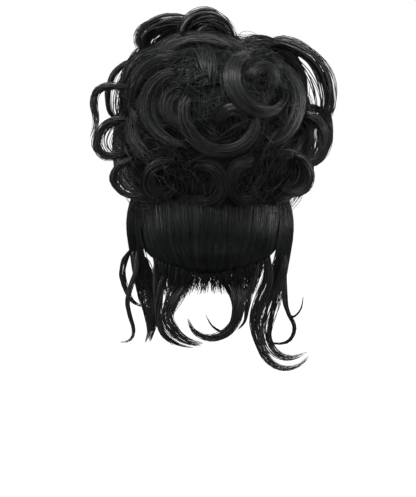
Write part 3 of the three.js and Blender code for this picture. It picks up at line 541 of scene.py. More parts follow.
def strands_on(point, out, radius):
    """Thin three-sided strands along paths, one row each, narrowing by 1 - 0.7 s^4."""
    along = np.linspace(0.0, 1.0, point.shape[1])
    thin = np.asarray(radius) * (1 - 0.7 * along**4) * np.ones((len(point), 1))
    side = unit(np.cross(np.gradient(point, axis=1), out))
    return carried(point, side, unit(out), thin, thin, 3, first=41)


def revolved(grid, along):
    """A closed surface from rings of points; the first and the last ring are one point each.

    along is how far each ring lies along the strands; across them the map counts the ring's columns.
    """
    rows, columns = grid.shape[:2]
    points = np.concatenate([grid[1:-1].reshape(-1, 3), grid[0, :1], grid[-1, :1]])
    rings = closed(np.arange((rows - 2) * columns).reshape(-1, columns))
    pole = np.full(columns, (rows - 2) * columns)
    top = np.stack([pole, rings[0, 1:], rings[0, :-1]], axis=-1)
    foot = np.stack([pole + 1, rings[-1, :-1], rings[-1, 1:]], axis=-1)
    wide = np.linalg.norm(np.diff(grid[rows // 3], axis=0), axis=-1).mean()
    u = np.arange(columns + 1) * wide
    places = np.stack(np.broadcast_arrays(u, along[1:-1, None]), axis=-1)

    def fan_map(lanes, heights):
        return np.stack(np.broadcast_arrays(np.stack(lanes, axis=-1), heights), axis=-1)

    tri_map = np.concatenate([fan_map([u[:-1], u[1:], u[:-1]], along[[0, 1, 1]]),
                              fan_map([u[:-1], u[:-1], u[1:]], along[[-1, -2, -2]])])
    return Surface(points, faces(rings), cells(places).reshape(-1, 4, 2), np.concatenate([top, foot]),
                   tri_map)


def panel(outer, inner, along):
    """A closed sheet between an outer and an inner grid of points, joined round its four edges.

    along is how far each grid row lies along the strands; across them the map counts columns.
    """
    rows, columns = outer.shape[:2]
    points = np.concatenate([outer.reshape(-1, 3), inner.reshape(-1, 3)])
    over = np.arange(rows * columns).reshape(rows, columns)
    under = over + rows * columns
    quads = np.concatenate([
        faces(over), faces(under)[:, ::-1],
        faces(np.stack([over[0], under[0]]))[:, ::-1], faces(np.stack([over[-1], under[-1]])),
        faces(np.stack([over[:, 0], under[:, 0]])), faces(np.stack([over[:, -1], under[:, -1]]))[:, ::-1]])
    wide = np.linalg.norm(np.diff(outer[rows // 2], axis=0), axis=-1).mean()
    u = np.broadcast_to(np.arange(columns) * wide, (rows, columns)).ravel()
    v = np.broadcast_to(along[:, None], (rows, columns)).ravel()
    places = np.stack([np.tile(u, 2), np.tile(v, 2)], axis=-1)
    return Surface(points, quads, places[quads], np.zeros((0, 3), int), np.zeros((0, 3, 2)))


def outwards(surface):
    """The surface with its faces turned to point outwards, by the sign of the volume they enclose."""
    quads = surface.points[surface.quads]
    corners = [quads[:, [0, 1, 2]], quads[:, [0, 2, 3]], surface.points[surface.tris]]
    a, b, c = np.concatenate(corners).transpose(1, 0, 2)
    if (np.cross(a, b) * c).sum() >= 0:
        return surface
    return Surface(surface.points, surface.quads[:, ::-1], surface.quad_map[:, ::-1],
                   surface.tris[:, ::-1], surface.tri_map[:, ::-1])


def make_piece(name, surfaces, material, nodes):
    """A mesh object of closed surfaces that rides on the wig and stands for the nodes named."""
    surfaces = [outwards(surface) for surface in surfaces]
    shift = np.cumsum([0] + [len(surface.points) for surface in surfaces])
    points = np.concatenate([surface.points for surface in surfaces])
    quads = np.concatenate([surface.quads + n for surface, n in zip(surfaces, shift)])
    tris = np.concatenate([surface.tris + n for surface, n in zip(surfaces, shift)])
    places = np.concatenate([*(surface.quad_map.reshape(-1, 2) for surface in surfaces),
                             *(surface.tri_map.reshape(-1, 2) for surface in surfaces)])
    mesh = bpy.data.meshes.new(name)
    mesh.vertices.add(len(points))
    mesh.vertices.foreach_set("co", points.astype(np.float32).ravel())
    mesh.loops.add(quads.size + tris.size)
    mesh.loops.foreach_set("vertex_index", np.concatenate([quads.ravel(), tris.ravel()]).astype(np.int32))
    starts = np.concatenate([np.arange(len(quads)) * 4, quads.size + np.arange(len(tris)) * 3])
    mesh.polygons.add(len(starts))
    mesh.polygons.foreach_set("loop_start", starts.astype(np.int32))
    mesh.polygons.foreach_set("use_smooth", np.ones(len(starts), bool))
    mesh.update(calc_edges=True)
    strand_map = mesh.uv_layers.new(name="strand")
    strand_map.data.foreach_set("uv", places.astype(np.float32).ravel())
    mesh.materials.append(material)
    piece = bpy.data.objects.new(name, mesh)
    bpy.context.scene.collection.objects.link(piece)
    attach(piece, "root")
    if nodes:
        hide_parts(*nodes)
    return piece


def wander(rng, along, rows, size, turns):
    """Slow wandering of many paths along their length: size sin(2 pi (turns s + phase))."""
    rate = rng.uniform(0.4, 1.0, (rows, 1)) * turns
    return size * np.sin(2 * np.pi * (rate * along + rng.uniform(0, 1, (rows, 1))))


def comb_ribs(rng, rows, steps, around, depths):
    """Ribs round a sub-lock: 1 + the sum of depth cos(count a + drift s + phase)."""
    angle = np.linspace(0.0, 2 * np.pi, around, endpoint=False)
    along = np.linspace(0.0, 1.0, steps)[None, :, None]
    ribs = np.ones((rows, steps, around))
    for number, depth in depths:
        drift = rng.uniform(-3.0, 3.0, (rows, 1, 1)) * along
        ribs += depth * np.cos(number * angle + drift + rng.uniform(0, 6.3, (rows, 1, 1)))
    return ribs


def curl_surfaces(pile, curl, rng, bodies, around, strands, radius, halo=0):
    """A pinned curl: flat ribbed sub-locks side by side, strands over them and a halo beside them.

    Across the curl a sub-lock or strand is reach away from the curl's own spiral, and over it rise. The
    curl narrows from its root to its tail by root - loss s, and has a station to every 18 degrees.
    """
    steps = int(8 + abs(curl.wind) / 18)
    to_share = 2 / pile.breadth / CURL_ROOT

    def half_size(along):
        full = mix(CURL_END, 1.0, np.sin(np.pi * along)) * (CURL_ROOT - CURL_LOSS * along)
        return curl.width * pile.curl_width / 2 * full, curl.thick * pile.curl_thick / 2 * full

    along = even(steps)
    half, thin = half_size(along)
    place = ((np.arange(bodies)[:, None] + 0.5) / bodies * 2 - 1) * 0.8
    reach = (place * half + wander(rng, along, bodies, 0.1, 1.3) * half) * to_share
    rise = (wander(rng, along, bodies, 0.15, 1.2) + rng.uniform(-0.2, 0.15, (bodies, 1))
            - 0.45 * place**2) * thin
    point, out = spiral(pile, curl, along, reach=reach, rise=rise)
    side = unit(np.cross(np.gradient(point, axis=1), out))
    ribs = comb_ribs(rng, bodies, steps, around, ((around // 3, 0.11), (around // 2 - 1, 0.1)))
    closing = 0.3 + 0.7 * np.sin(np.pi * along) ** 0.5
    broad = half * closing * rng.uniform(0.75, 1.2, (bodies, 1)) / bodies
    deep = thin * closing * rng.uniform(0.6, 0.8, (bodies, 1)) * (1 - 0.3 * place**2)
    surfaces = [carried(point, side, out, broad, deep, around, ribs)]

    along = even(steps - 5)
    half, thin = half_size(along)
    lane = rng.uniform(-0.9, 0.9, (strands, 1))
    cover = np.sqrt(np.maximum(0.08, 1 - lane**2))
    reach = (lane + wander(rng, along, strands, 0.07, 1.5)) * half * to_share
    rise = thin * (cover * rng.uniform(0.45, 1.1, (strands, 1)) + wander(rng, along, strands, 0.08, 2.0))
    point, out = spiral(pile, curl, along, start=rng.uniform(-8, 8, (strands, 1)),
                        wind=rng.uniform(0.9, 1.06, (strands, 1)), reach=reach, rise=rise,
                        sink=rng.uniform(0.5, 1.0, (strands, 1)))
    surfaces.append(strands_on(point, out, radius * rng.uniform(0.6, 1.25, (strands, 1))))

    if halo:
        lane = rng.choice([-1, 1], (halo, 1)) * rng.uniform(0.9, 1.5, (halo, 1))
        drift = rng.uniform(-0.4, 0.4, (halo, 1)) * along + wander(rng, along, halo, 0.12, 1.5)
        reach = (lane + drift) * curl.width * pile.curl_width / 2 * to_share
        rise = rng.uniform(-0.001, 0.003, (halo, 1)) - curl.thick * pile.curl_thick * 0.3
        point, out = spiral(pile, curl, along, start=rng.uniform(-40, 40, (halo, 1)),
                            wind=rng.uniform(0.45, 0.95, (halo, 1)), reach=reach, rise=rise, sink=0.3)
        surfaces.append(strands_on(point, out, radius * rng.uniform(0.6, 1.1, (halo, 1))))
    return surfaces


def sampled(values, at):
    """Values known at even stations, read at shares of the way along them."""
    place = at * (len(values) - 1)
    low = np.minimum(place.astype(int), len(values) - 2)
    part = place - low
    return mix(values[low], values[low + 1], part[..., None] if values.ndim > 1 else part)


def lock_surfaces(path, rng, parting, around, strands, radius):
    """A loose lock: ribbed sub-locks that twist round each other, with strands wandering over them.

    A sub-lock or strand runs at point + side broad u + out thin v, with u and v turning slowly round the
    lock's middle. It stands off by (1 + split sin(pi s)) (1 - 0.45 s^4), is pinched to that share at the
    root, and ends at a share of the lock's length of its own, from shortest up. The inner strands of a loop
    are drawn in towards the straight line between its ends.
    """
    steps, bodies, inner = len(path.point), parting.bodies, parting.inner
    strands = int(strands * parting.strands)
    along = even(steps)
    twist = rng.uniform(1.2, 2.6) * rng.choice([-1, 1])
    root = np.minimum(1, parting.pinch + 4 * along)
    open_out = (1 + parting.split * np.sin(np.pi * along)) * (1 - 0.45 * along**4) * root

    def own_path(rows):
        reach = rng.uniform(parting.shortest, 1.0, (rows, 1)) * along
        return Path(*(sampled(part, reach) for part in path))

    def placed(own, far, angle):
        u = (far * np.cos(angle) * open_out * own.broad)[..., None] * own.side
        v = (far * np.sin(angle) * open_out * own.thin)[..., None] * own.out
        return own.point + u + v

    angle = (np.arange(bodies)[:, None] + rng.uniform(-0.35, 0.35, (bodies, 1))) / bodies * 2 * np.pi
    angle = angle + twist * along + wander(rng, along, bodies, 0.35, 1.0)
    far = rng.uniform(0.4, 0.85, (bodies, 1)) + wander(rng, along, bodies, parting.stray, 1.4)
    own = own_path(bodies)
    size = rng.uniform(0.7, 1.3, (bodies, 1)) * parting.finely * (1 - 0.9 * along**3) * root
    ribs = comb_ribs(rng, bodies, steps, around, ((3, 0.08), (around // 2 - 1, 0.06)))
    surfaces = [carried(placed(own, far, angle), own.side, own.out, own.broad * size, own.thin * size,
                        around, ribs)]

    angle = rng.uniform(0.0, 2 * np.pi, (strands, 1)) + twist * along
    angle = angle + wander(rng, along, strands, 0.25, 1.5)
    far = rng.uniform(0.5, 1.08, (strands, 1)) + wander(rng, along, strands, parting.stray, 2.2)
    far = far + parting.stray * rng.uniform(0, 4, (strands, 1)) * along**3
    own = own_path(strands)
    thin = radius * rng.uniform(0.55, 1.25, (strands, 1)) * (1 - 0.7 * along**3)
    surfaces.append(carried(placed(own, far, angle), own.side, own.out, thin, thin, 3, first=17))

    if inner:
        chord = mix(path.point[0], path.point[-1], along[0][:, None])
        draw = rng.uniform(0.25, 1.08, (inner, 1)) + wander(rng, along, inner, 0.05, 1.2)
        aside = (rng.uniform(-0.95, 0.95, (inner, 1)) * path.broad)[..., None] * path.side
        point = chord + (path.point - chord) * draw[..., None] + aside
        side, out = (np.broadcast_to(part, point.shape) for part in (path.side, path.out))
        thin = radius * rng.uniform(0.6, 1.5, (inner, 1)) * np.ones_like(along)
        surfaces.append(carried(point, side, out, thin, thin, 3, first=5))
    return surfaces


def add_node(tree, kind, settings=None, values=None, links=None):
    """Adds a node with its settings, its inputs' values and the links into them."""
    node = tree.nodes.new(kind)
    for key, value in (settings or {}).items():
        setattr(node, key, value)
    for key, value in (values or {}).items():
        node.inputs[key].default_value = value
    for key, socket in (links or {}).items():
        tree.links.new(socket, node.inputs[key])
    return node


def empty_material(name):
    """A material with no nodes yet, and its node tree."""
    material = bpy.data.materials.new(name)
    material.use_nodes = True
    material.node_tree.nodes.clear()
    return material, material.node_tree


# How the fibre lies: how rough and how glossy it looks, how wide a strand and a clump of them are, and how
# far a clump's streak runs, these three in mm. The streaks are palest from pale, a share of their pattern;
# the later pale comes, the less painted sheen and the darker the fibre.
Lie = namedtuple("Lie", "roughness gloss strand clump run pale")
LIES = {
    # Combed fibre reaches its palest streaks only at the very end of the pattern, so it is darker all over:
    # painted shade, standing for the shade on the smooth hair below the pile
    "combed": Lie(0.26, 0.2, 0.7, 2.6, 50, 1.0),
    "curled": Lie(0.36, 0.43, 0.7, 2.1, 26, 0.68),
    "tangled": Lie(0.50, 0.34, 0.9, 2.6, 26, 0.66),
    "frizzed": Lie(0.60, 0.12, 0.9, 4.0, 26, 0.66),
}

# The streaks' pattern: how far a single strand's streak runs in mm, the strands' share of the pattern, and
# where on it the fibre is darkest and dullest (painted shade), of its own colour, and sleekest
STRAND_RUN = 30
STRAND_SHARE = 0.55
DARKEST, MIDDLING, SLEEKEST = 0.38, 0.5, 0.64

# How rough the dullest and the sleekest streaks are, as shares of the roughness
DULL, SLEEK = 2.0, 0.75


def fibre_material(name, colours, lie):
    """Modacrylic wig fibre: fine, smooth, extruded filament, black with greyed streaks and a satin gloss.

    Across the hair the streaks are as wide as a strand or a clump of them, and along it some centimetres
    long. The darkest streaks are painted shade between the strands, and the greyed palest ones are partly
    painted sheen. The paler a streak is, the sleeker, and the gloss is drawn out across the strands.
    """
    material, tree = empty_material(name)
    place = add_node(tree, "ShaderNodeUVMap", {"uv_map": "strand"}).outputs["UV"]

    def streaks(width_mm, run_mm):
        scaled = add_node(tree, "ShaderNodeMapping", None,
                          {"Scale": (1000 / width_mm, 1000 / run_mm, 1.0)}, {"Vector": place})
        return add_node(tree, "ShaderNodeTexNoise", {"noise_dimensions": "2D"},
                        {"Scale": 1.0, "Detail": 2.0, "Roughness": 0.6},
                        {"Vector": scaled.outputs["Vector"]}).outputs["Fac"]

    streak = add_node(tree, "ShaderNodeMix", {"data_type": "FLOAT"}, {"Factor": STRAND_SHARE},
                      {"A": streaks(lie.clump, lie.run), "B": streaks(lie.strand, STRAND_RUN)})
    streak = streak.outputs["Result"]
    ramp = add_node(tree, "ShaderNodeValToRGB", None, None, {"Fac": streak})
    stops = ramp.color_ramp.elements
    # The ramp runs from painted shade between the strands, through the fibre's own black, to painted sheen
    stops[0].position, stops[0].color = DARKEST, tuple(colours.deep)
    stops[1].position, stops[1].color = lie.pale, tuple(colours.bright)
    stops.new(MIDDLING).color = tuple(colours.body)
    lustre = add_node(tree, "ShaderNodeMapRange", None,
                      {"From Min": DARKEST, "From Max": SLEEKEST, "To Min": lie.roughness * DULL,
                       "To Max": lie.roughness * SLEEK}, {"Value": streak})
    bump = add_node(tree, "ShaderNodeBump", None, {"Strength": 0.6, "Distance": 0.0006},
                    {"Height": streak})
    tangent = add_node(tree, "ShaderNodeTangent", {"direction_type": "UV_MAP", "uv_map": "strand"})
    shader = add_node(
        tree, "ShaderNodeBsdfPrincipled", None,
        {"Specular IOR Level": lie.gloss, "IOR": 1.5, "Anisotropic": 0.7},
        {"Base Color": ramp.outputs["Color"], "Normal": bump.outputs["Normal"],
         "Roughness": lustre.outputs["Result"], "Tangent": tangent.outputs["Tangent"]})
    add_node(tree, "ShaderNodeOutputMaterial", None, None, {"Surface": shader.outputs["BSDF"]})
    return material


def hair_fibre(lie):
    """The fibre's material, made once for each way that it lies."""
    name = "modacrylic_fibre_" + lie
    found = bpy.data.materials.get(name)
    return found or fibre_material(name, bpy.context.scene.wig_colours, LIES[lie])


# Between one hole of the net and the next, in metres
NET_PITCH = 0.0015


def net_material(colours):
    """Knitted nylon wig net: a fine black mesh, dull, whose holes are about 1.5 mm across."""
    material, tree = empty_material("nylon_wig_net")
    place = add_node(tree, "ShaderNodeUVMap", {"uv_map": "strand"}).outputs["UV"]
    waves = []
    for turn in (np.radians(45), np.radians(-45)):
        turned = add_node(tree, "ShaderNodeMapping", None,
                          {"Rotation": (0, 0, turn), "Scale": (1 / NET_PITCH,) * 3}, {"Vector": place})
        waves.append(add_node(tree, "ShaderNodeTexWave", None, {"Scale": 0.32, "Distortion": 0.3},
                              {"Vector": turned.outputs["Vector"]}).outputs["Fac"])
    knit = add_node(tree, "ShaderNodeMath", {"operation": "MAXIMUM"}, None, {0: waves[0], 1: waves[1]})
    ramp = add_node(tree, "ShaderNodeValToRGB", None, None, {"Fac": knit.outputs["Value"]})
    ramp.color_ramp.elements[0].color = tuple(colours.deep)
    ramp.color_ramp.elements[1].color = tuple(colours.net)
    bump = add_node(tree, "ShaderNodeBump", None, {"Strength": 0.6, "Distance": 0.0004},
                    {"Height": knit.outputs["Value"]})
    shader = add_node(tree, "ShaderNodeBsdfPrincipled", None, {"Roughness": 0.8, "IOR": 1.53},
                      {"Base Color": ramp.outputs["Color"], "Normal": bump.outputs["Normal"]})
    add_node(tree, "ShaderNodeOutputMaterial", None, None, {"Surface": shader.outputs["BSDF"]})
    return material


class WIG_OT_cap(bpy.types.Operator):
    """Makes the cap, hair combed flat outside and a plain net inside"""

    bl_idname = "wig.cap"
    bl_label = "Cap"

    def execute(self, context):
        cap = context.scene.wig_cap
        turns, rows = 200, 20
        turn = np.linspace(0.0, 2 * np.pi, turns, endpoint=False)[None]
        down = np.linspace(0.0, 1.0, rows)[:, None]
        fall = fall_of(cap, hem_drop(cap, turn)) * down
        comb = cap.comb * (np.cos(61 * turn + 3 * down) + np.cos(97 * turn - 2 * down)) * down
        outer = cap_points(cap, turn, fall, cap.wall + comb - cap.gap)
        inner = cap_points(cap, turn, fall, 0.0)
        grid = np.concatenate([outer, inner[::-1]])
        run = down[:, 0] * cap.nape_drop
        piece = make_piece("hair_cap", [revolved(grid, np.concatenate([run, 2 * run[-1] - run[::-1]]))],
                           hair_fibre("combed"), ["cap"])

        # The faces between the inner rings, and the last fan, at the inner crown, are the net
        piece.data.materials.append(net_material(context.scene.wig_colours))
        inside = np.zeros(len(piece.data.polygons), np.int32)
        inside[(rows - 1) * turns:(2 * rows - 3) * turns] = 1
        inside[-turns:] = 1
        piece.data.polygons.foreach_set("material_index", inside)
        return {"FINISHED"}


def front_hem(cap, hair, rng):
    """Strands from the front hem back to a third of its depth, on the cap and up to 1.6 mm clear of it."""
    strands = 400
    back = np.linspace(1.0, 0.3, 9)[None]
    turn = rng.uniform(0.4, 1.6, (strands, 1)) * np.pi + wander(rng, back, strands, 0.05, 1.0)
    lift = cap.wall + rng.uniform(0.0, 0.0016, (strands, 1)) * np.sin(np.pi * back) ** 0.5
    depth = hem_drop(cap, turn) * (back + 0.01 * rng.uniform(-1, 1, (strands, 1)))
    path = cap_points(cap, turn, fall_of(cap, depth), lift)
    out = path - np.array([0.0, 0.0, -cap.crown_height])
    return strands_on(path, out, hair.strand)


def nape_fringe(cap, hair, rng):
    """Strands that hang from under the nape hem and draw together, the outer ones more, to each side.

    Their roots lie up to widest degrees to each side of the nape. A strand goes across by
    drawn (meeting - start) s^1.4 and down by drop s, and bows out by sin(pi s).
    """
    strands, widest = hair.nape_fringe, 50
    root = rng.uniform(-widest, widest, (strands, 1))
    run = even(8)
    start = cap_points(cap, np.radians(root), fall_of(cap, hem_drop(cap, np.radians(root)) * 0.94),
                       cap.wall * rng.uniform(-0.2, 0.9, (strands, 1)))
    meeting = np.where(root < 0, -hair.fringe_meeting, hair.fringe_meeting * 0.6)
    outward = np.abs(root) / widest
    longest = hair.fringe_drop * (0.62 + 0.5 * outward)
    drop = longest * rng.uniform(0.55, 1.0, (strands, 1)) * run
    drawn = rng.uniform(0.3, 0.85, (strands, 1)) * (0.1 + 0.9 * outward)
    across = (meeting - start[..., 0]) * drawn * run**1.4 + wander(rng, run, strands, 0.0012, 1.0)
    bow = -0.004 * np.sin(np.pi * run)
    path = start + np.stack(np.broadcast_arrays(across, bow, -drop), axis=-1)
    return strands_on(path, path * LEVEL, hair.strand * rng.uniform(0.7, 1.3, (strands, 1)))


class WIG_OT_hems(bpy.types.Operator):
    """Makes the hair round the front hem and the fine fringe under the hem at the nape"""

    bl_idname = "wig.hems"
    bl_label = "Hems"

    def execute(self, context):
        cap, hair = context.scene.wig_cap, context.scene.wig_hair
        rng = draws("hems")
        for name, strands in (("hair_front_hem", front_hem), ("hair_nape_fringe", nape_fringe)):
            make_piece(name, [strands(cap, hair, rng)], hair_fibre("combed"), [])
        return {"FINISHED"}


def layer_points(cap, layer, across, down, padded=0.0, offset=0.0):
    """Points of a layer of smooth hair, from -1 to 1 across it and from 0 at its top to 1 at its hem.

    The hem hangs at hem - rise across^2 - ragged (the notches' cosines), and the padded layer stands out
    by pad swell (1 - across^4), with a least share of it at the edges.
    """
    pad = cap.back_pad if layer.middle == 0 else cap.side_pad
    notches = np.cos(37 * across) + np.cos(61 * across + 1) + np.cos(89 * across)
    hem = cap.nape_drop * (layer.hem - layer.rise * across**2 - layer.ragged * notches)
    depth = mix(cap.nape_drop * layer.top, hem, down)
    spread = mix(layer.spread_top, layer.spread_hem, down)
    turn = np.radians(layer.middle + across * spread)
    full = np.maximum(EDGE_PAD, 1 - across**4) * eased(layer.swell, np.clip(down, 0, 1))
    return cap_points(cap, turn, fall_of(cap, depth), cap.wall + cap.gap + padded * pad * full + offset)


def layer_panel(cap, layer, rng):
    """A layer's padded sheet, with comb marks that run down it and die out at its edges."""
    rows = 20
    across = np.linspace(-1.0, 1.0, layer.columns)[None]
    down = np.linspace(0.0, 1.0, rows)[:, None]
    as_broad = layer.columns / LAYERS[0].columns
    comb = np.zeros((rows, layer.columns))
    for number in COMB_MARKS:
        waver = rng.uniform(0, 6.3) + 1.5 * np.sin(rng.uniform(1, 3) * down + rng.uniform(0, 6.3))
        comb += cap.comb / 2 * np.cos(number * as_broad * across + waver)
    outer = layer_points(cap, layer, across, down, 1.0, comb * (1 - across**8))
    along = np.linspace(0.0, cap.nape_drop * (layer.hem - layer.top), rows)
    return panel(outer, layer_points(cap, layer, across, down), along)


def layer_strands(cap, hair, layer, rng):
    """Strands over a layer, some of which trail past its hem."""
    strands = layer.strands
    run = even(10)
    lane = rng.uniform(-1.04, 1.04, (strands, 1)) + wander(rng, run, strands, 0.01, 1.2)
    reach = rng.uniform(0.95, 1.0, (strands, 1)) + layer.trail * rng.uniform(0, 1, (strands, 1)) ** 1.6
    rise = rng.uniform(-0.0002, 0.0008, (strands, 1)) * np.sin(np.pi * run) ** 0.5
    path = layer_points(cap, layer, lane, reach * run, 1.0, rise)
    return strands_on(path, path * np.array([1.0, 1.0, 0.2]), hair.strand * 0.8)


class WIG_OT_smooth_hair(bpy.types.Operator):
    """Makes the swept-up back and the smooth hair at each side, with comb marks and strands"""

    bl_idname = "wig.smooth_hair"
    bl_label = "Smooth hair"

    def execute(self, context):
        cap, hair = context.scene.wig_cap, context.scene.wig_hair
        for number, layer in enumerate(LAYERS):
            rng = draws("layers", number)
            surfaces = [layer_panel(cap, layer, rng), layer_strands(cap, hair, layer, rng)]
            make_piece("hair_" + layer.name, surfaces, hair_fibre("combed"), [layer.name])
        return {"FINISHED"}


def pile_shell(cap, pile):
    """The pile's own rounded surface, down to the cap, closed over the cap under it.

    In each direction round, it ends where the pile first meets the cap. It is sunk under the curls, with
    a swirl of broad and fine waves.
    """
    turns, rows = 180, 36
    turn = np.linspace(0.0, 2 * np.pi, turns, endpoint=False)[None]
    half_breadth, half_depth = cap.breadth / 2 + cap.wall, cap.depth / 2 + cap.wall

    def shell(polar, lift):
        toward = np.stack(np.broadcast_arrays(
            np.sin(polar) * np.sin(turn), -np.sin(polar) * np.cos(turn), np.cos(polar)), axis=-1)
        return pile_points(pile, toward, lift)[0]

    down = np.linspace(0.0, np.radians(172), 600)[:, None]
    tried = shell(down, 0.0)
    level = np.clip((tried[..., 2] + cap.crown_height) / cap.crown_height, 0.0, 1.0)
    plan = np.hypot(tried[..., 0] / half_breadth, tried[..., 1] / half_depth)
    met = (plan < np.sqrt(1 - level**2)) & (tried[..., 2] < 0)
    lowest = down[np.argmax(met, axis=0), 0][None]
    polar = np.linspace(0.0, 1.0, rows)[:, None] * lowest
    swirl = 0.0025 * np.cos(7 * turn + 3 * polar) + 0.0012 * np.cos(23 * turn + 9 * polar) - 0.0055
    outer = shell(polar, (swirl + 0.0006 * np.cos(61 * turn + 20 * polar)) * np.sin(polar))
    rim = outer[-1]
    rim_turn = np.arctan2(rim[:, 0] / half_breadth, -rim[:, 1] / half_depth)[None]
    rim_fall = fall_of(cap, np.maximum(0.001, -rim[:, 2]))[None]
    inner = cap_points(cap, rim_turn, rim_fall * np.linspace(1.0, 0.0, rows)[:, None],
                       cap.wall + cap.gap)
    run = np.linspace(0.0, pile.height * 1.2, rows)
    return revolved(np.concatenate([outer, inner]), np.concatenate([run, run + run[-1]]))


def under_curls(pile, hair, rng):
    """Small sunken curls spread evenly over the pile, each turned on by the golden angle from the last.

    The sine of a curl's tilt goes in even steps from -0.62, under the big curls, to 0.96, by the top.
    """
    surfaces = []
    golden = np.pi * (3 - np.sqrt(5.0))
    for number in range(pile.under_curls):
        part = (number + 0.5) / pile.under_curls
        tilt = np.degrees(np.arcsin(-0.62 + 1.58 * part))
        view = np.degrees(number * golden) + rng.uniform(-8, 8)
        curl = Curl("under", view, tilt, 0.0, 0.0, rng.uniform(0.13, 0.28), rng.uniform(0, 360),
                    rng.choice([-1, 1]) * rng.uniform(170, 300), rng.uniform(0.6, 0.9),
                    rng.uniform(0.45, 0.7), rng.uniform(0.7, 0.95), rng.uniform(-0.5, -0.15))
        surfaces += curl_surfaces(pile, curl, rng, 2, 10, 5, hair.strand)
    return surfaces


def frizz(pile, hair, rng):
    """Strands that follow each big curl's spiral, moved aside, wider or tighter and shorter than it."""
    surfaces = []
    each = pile.frizz // len(CURLS)
    along = even(9)
    for curl in CURLS:
        moved = curl._replace(across=curl.across + rng.uniform(-0.12, 0.12, (each, 1)),
                              up=curl.up + rng.uniform(-0.12, 0.12, (each, 1)),
                              radius=curl.radius * rng.uniform(0.5, 1.7, (each, 1)), lift=0.0)
        start, wind = rng.uniform(-70, 70, (each, 1)), rng.uniform(0.35, 0.9, (each, 1))
        rise = rng.uniform(-0.001, 0.004, (each, 1)) + wander(rng, along, each, 0.0015, 1.5)
        point, out = spiral(pile, moved, along, start, wind, rise=rise, sink=0.2)
        surfaces.append(strands_on(point, out, hair.strand * rng.uniform(0.5, 1.0, (each, 1))))
    return surfaces


def tangle(pile, hair, rng):
    """Short arcs that cross the curls all over the pile, and more of them across the lowest curls."""
    along = even(9)
    high, low = hair.tangle, hair.low_tangle
    view = np.concatenate([rng.uniform(-180, 180, (high, 1)), rng.uniform(-100, 100, (low, 1))])
    tilt = np.concatenate([rng.uniform(-35, 85, (high, 1)), rng.uniform(-38, -14, (low, 1))])
    both = high + low
    snarl = Curl("tangle", view, tilt, 0.0, 0.0, rng.uniform(0.12, 0.6, (both, 1)),
                 rng.uniform(0, 360, (both, 1)),
                 rng.choice([-1, 1], (both, 1)) * rng.uniform(25, 105, (both, 1)),
                 rng.uniform(0.6, 1.3, (both, 1)), 1.0, 1.0, 0.0)
    highest = np.where(np.arange(both) < high, 0.0075, 0.013)[:, None]
    rise = highest * rng.uniform(0.0, 1.0, (both, 1)) + wander(rng, along, both, 0.001, 1.5)
    point, out = spiral(pile, snarl, along, rise=rise, sink=0.2)
    return [strands_on(point, out, hair.strand * rng.uniform(0.3, 0.65, (both, 1)))]


class WIG_OT_pile(bpy.types.Operator):
    """Makes the hair inside the pile, the small curls that fill it, and the frizz and tangle over it"""

    bl_idname = "wig.pile"
    bl_label = "Pile"

    def execute(self, context):
        cap, pile, hair = context.scene.wig_cap, context.scene.wig_pile, context.scene.wig_hair
        rng = draws("pile")
        make_piece("hair_pile_core", [pile_shell(cap, pile), *under_curls(pile, hair, rng)],
                   hair_fibre("frizzed"), ["pile_core"])
        make_piece("hair_frizz", frizz(pile, hair, rng), hair_fibre("frizzed"), [])
        make_piece("hair_tangle", tangle(pile, hair, rng), hair_fibre("tangled"), [])
        return {"FINISHED"}


class WIG_OT_curls(bpy.types.Operator):
    """Makes the big curls pinned on the pile"""

    bl_idname = "wig.curls"
    bl_label = "Curls"

    def execute(self, context):
        pile, hair = context.scene.wig_pile, context.scene.wig_hair
        for number, curl in enumerate(CURLS):
            strands = int(hair.curl_strands * (0.6 + 0.4 * curl.width))
            surfaces = curl_surfaces(pile, curl, draws("curls", number), 6, 14, strands, hair.strand, 14)
            make_piece("hair_" + curl.name, surfaces, hair_fibre("curled"), [curl.name])
        return {"FINISHED"}


def make_locks(kind, locks, scale, middle, thick, steps, around, strands, radius):
    """Makes the loose locks of a table, whose points are shares of scale from middle."""
    for number, lock in enumerate(locks):
        path = loose_path(lock, np.array(lock.path) * scale + middle, thick, steps)
        surfaces = lock_surfaces(path, draws(kind, number), lock.parting, around, strands, radius)
        make_piece("hair_" + lock.name, surfaces, hair_fibre("curled"), [lock.name])


class WIG_OT_loops(bpy.types.Operator):
    """Makes the loose loops and rolls round the pile"""

    bl_idname = "wig.loops"
    bl_label = "Loops and rolls"

    def execute(self, context):
        pile, hair = context.scene.wig_pile, context.scene.wig_hair
        half, middle = pile_sizes(pile)
        make_locks("loops", LOOPS, half * BACKWARDS, middle, pile.loop_thick, 23, 8,
                   hair.loop_strands, hair.strand)
        return {"FINISHED"}


class WIG_OT_tendrils(bpy.types.Operator):
    """Makes the hanging locks at the sides and the nape"""

    bl_idname = "wig.tendrils"
    bl_label = "Tendrils"

    def execute(self, context):
        cap, hair = context.scene.wig_cap, context.scene.wig_hair
        scale = np.array([cap.breadth / 2 + cap.wall, -cap.depth / 2 - cap.wall, -hair.tendril_drop])
        hem = np.array([0.0, 0.0, -cap.nape_drop])
        make_locks("tendrils", TENDRILS, scale, hem, hair.tendril_thick, 24, 7,
                   hair.tendril_strands, hair.strand)
        return {"FINISHED"}


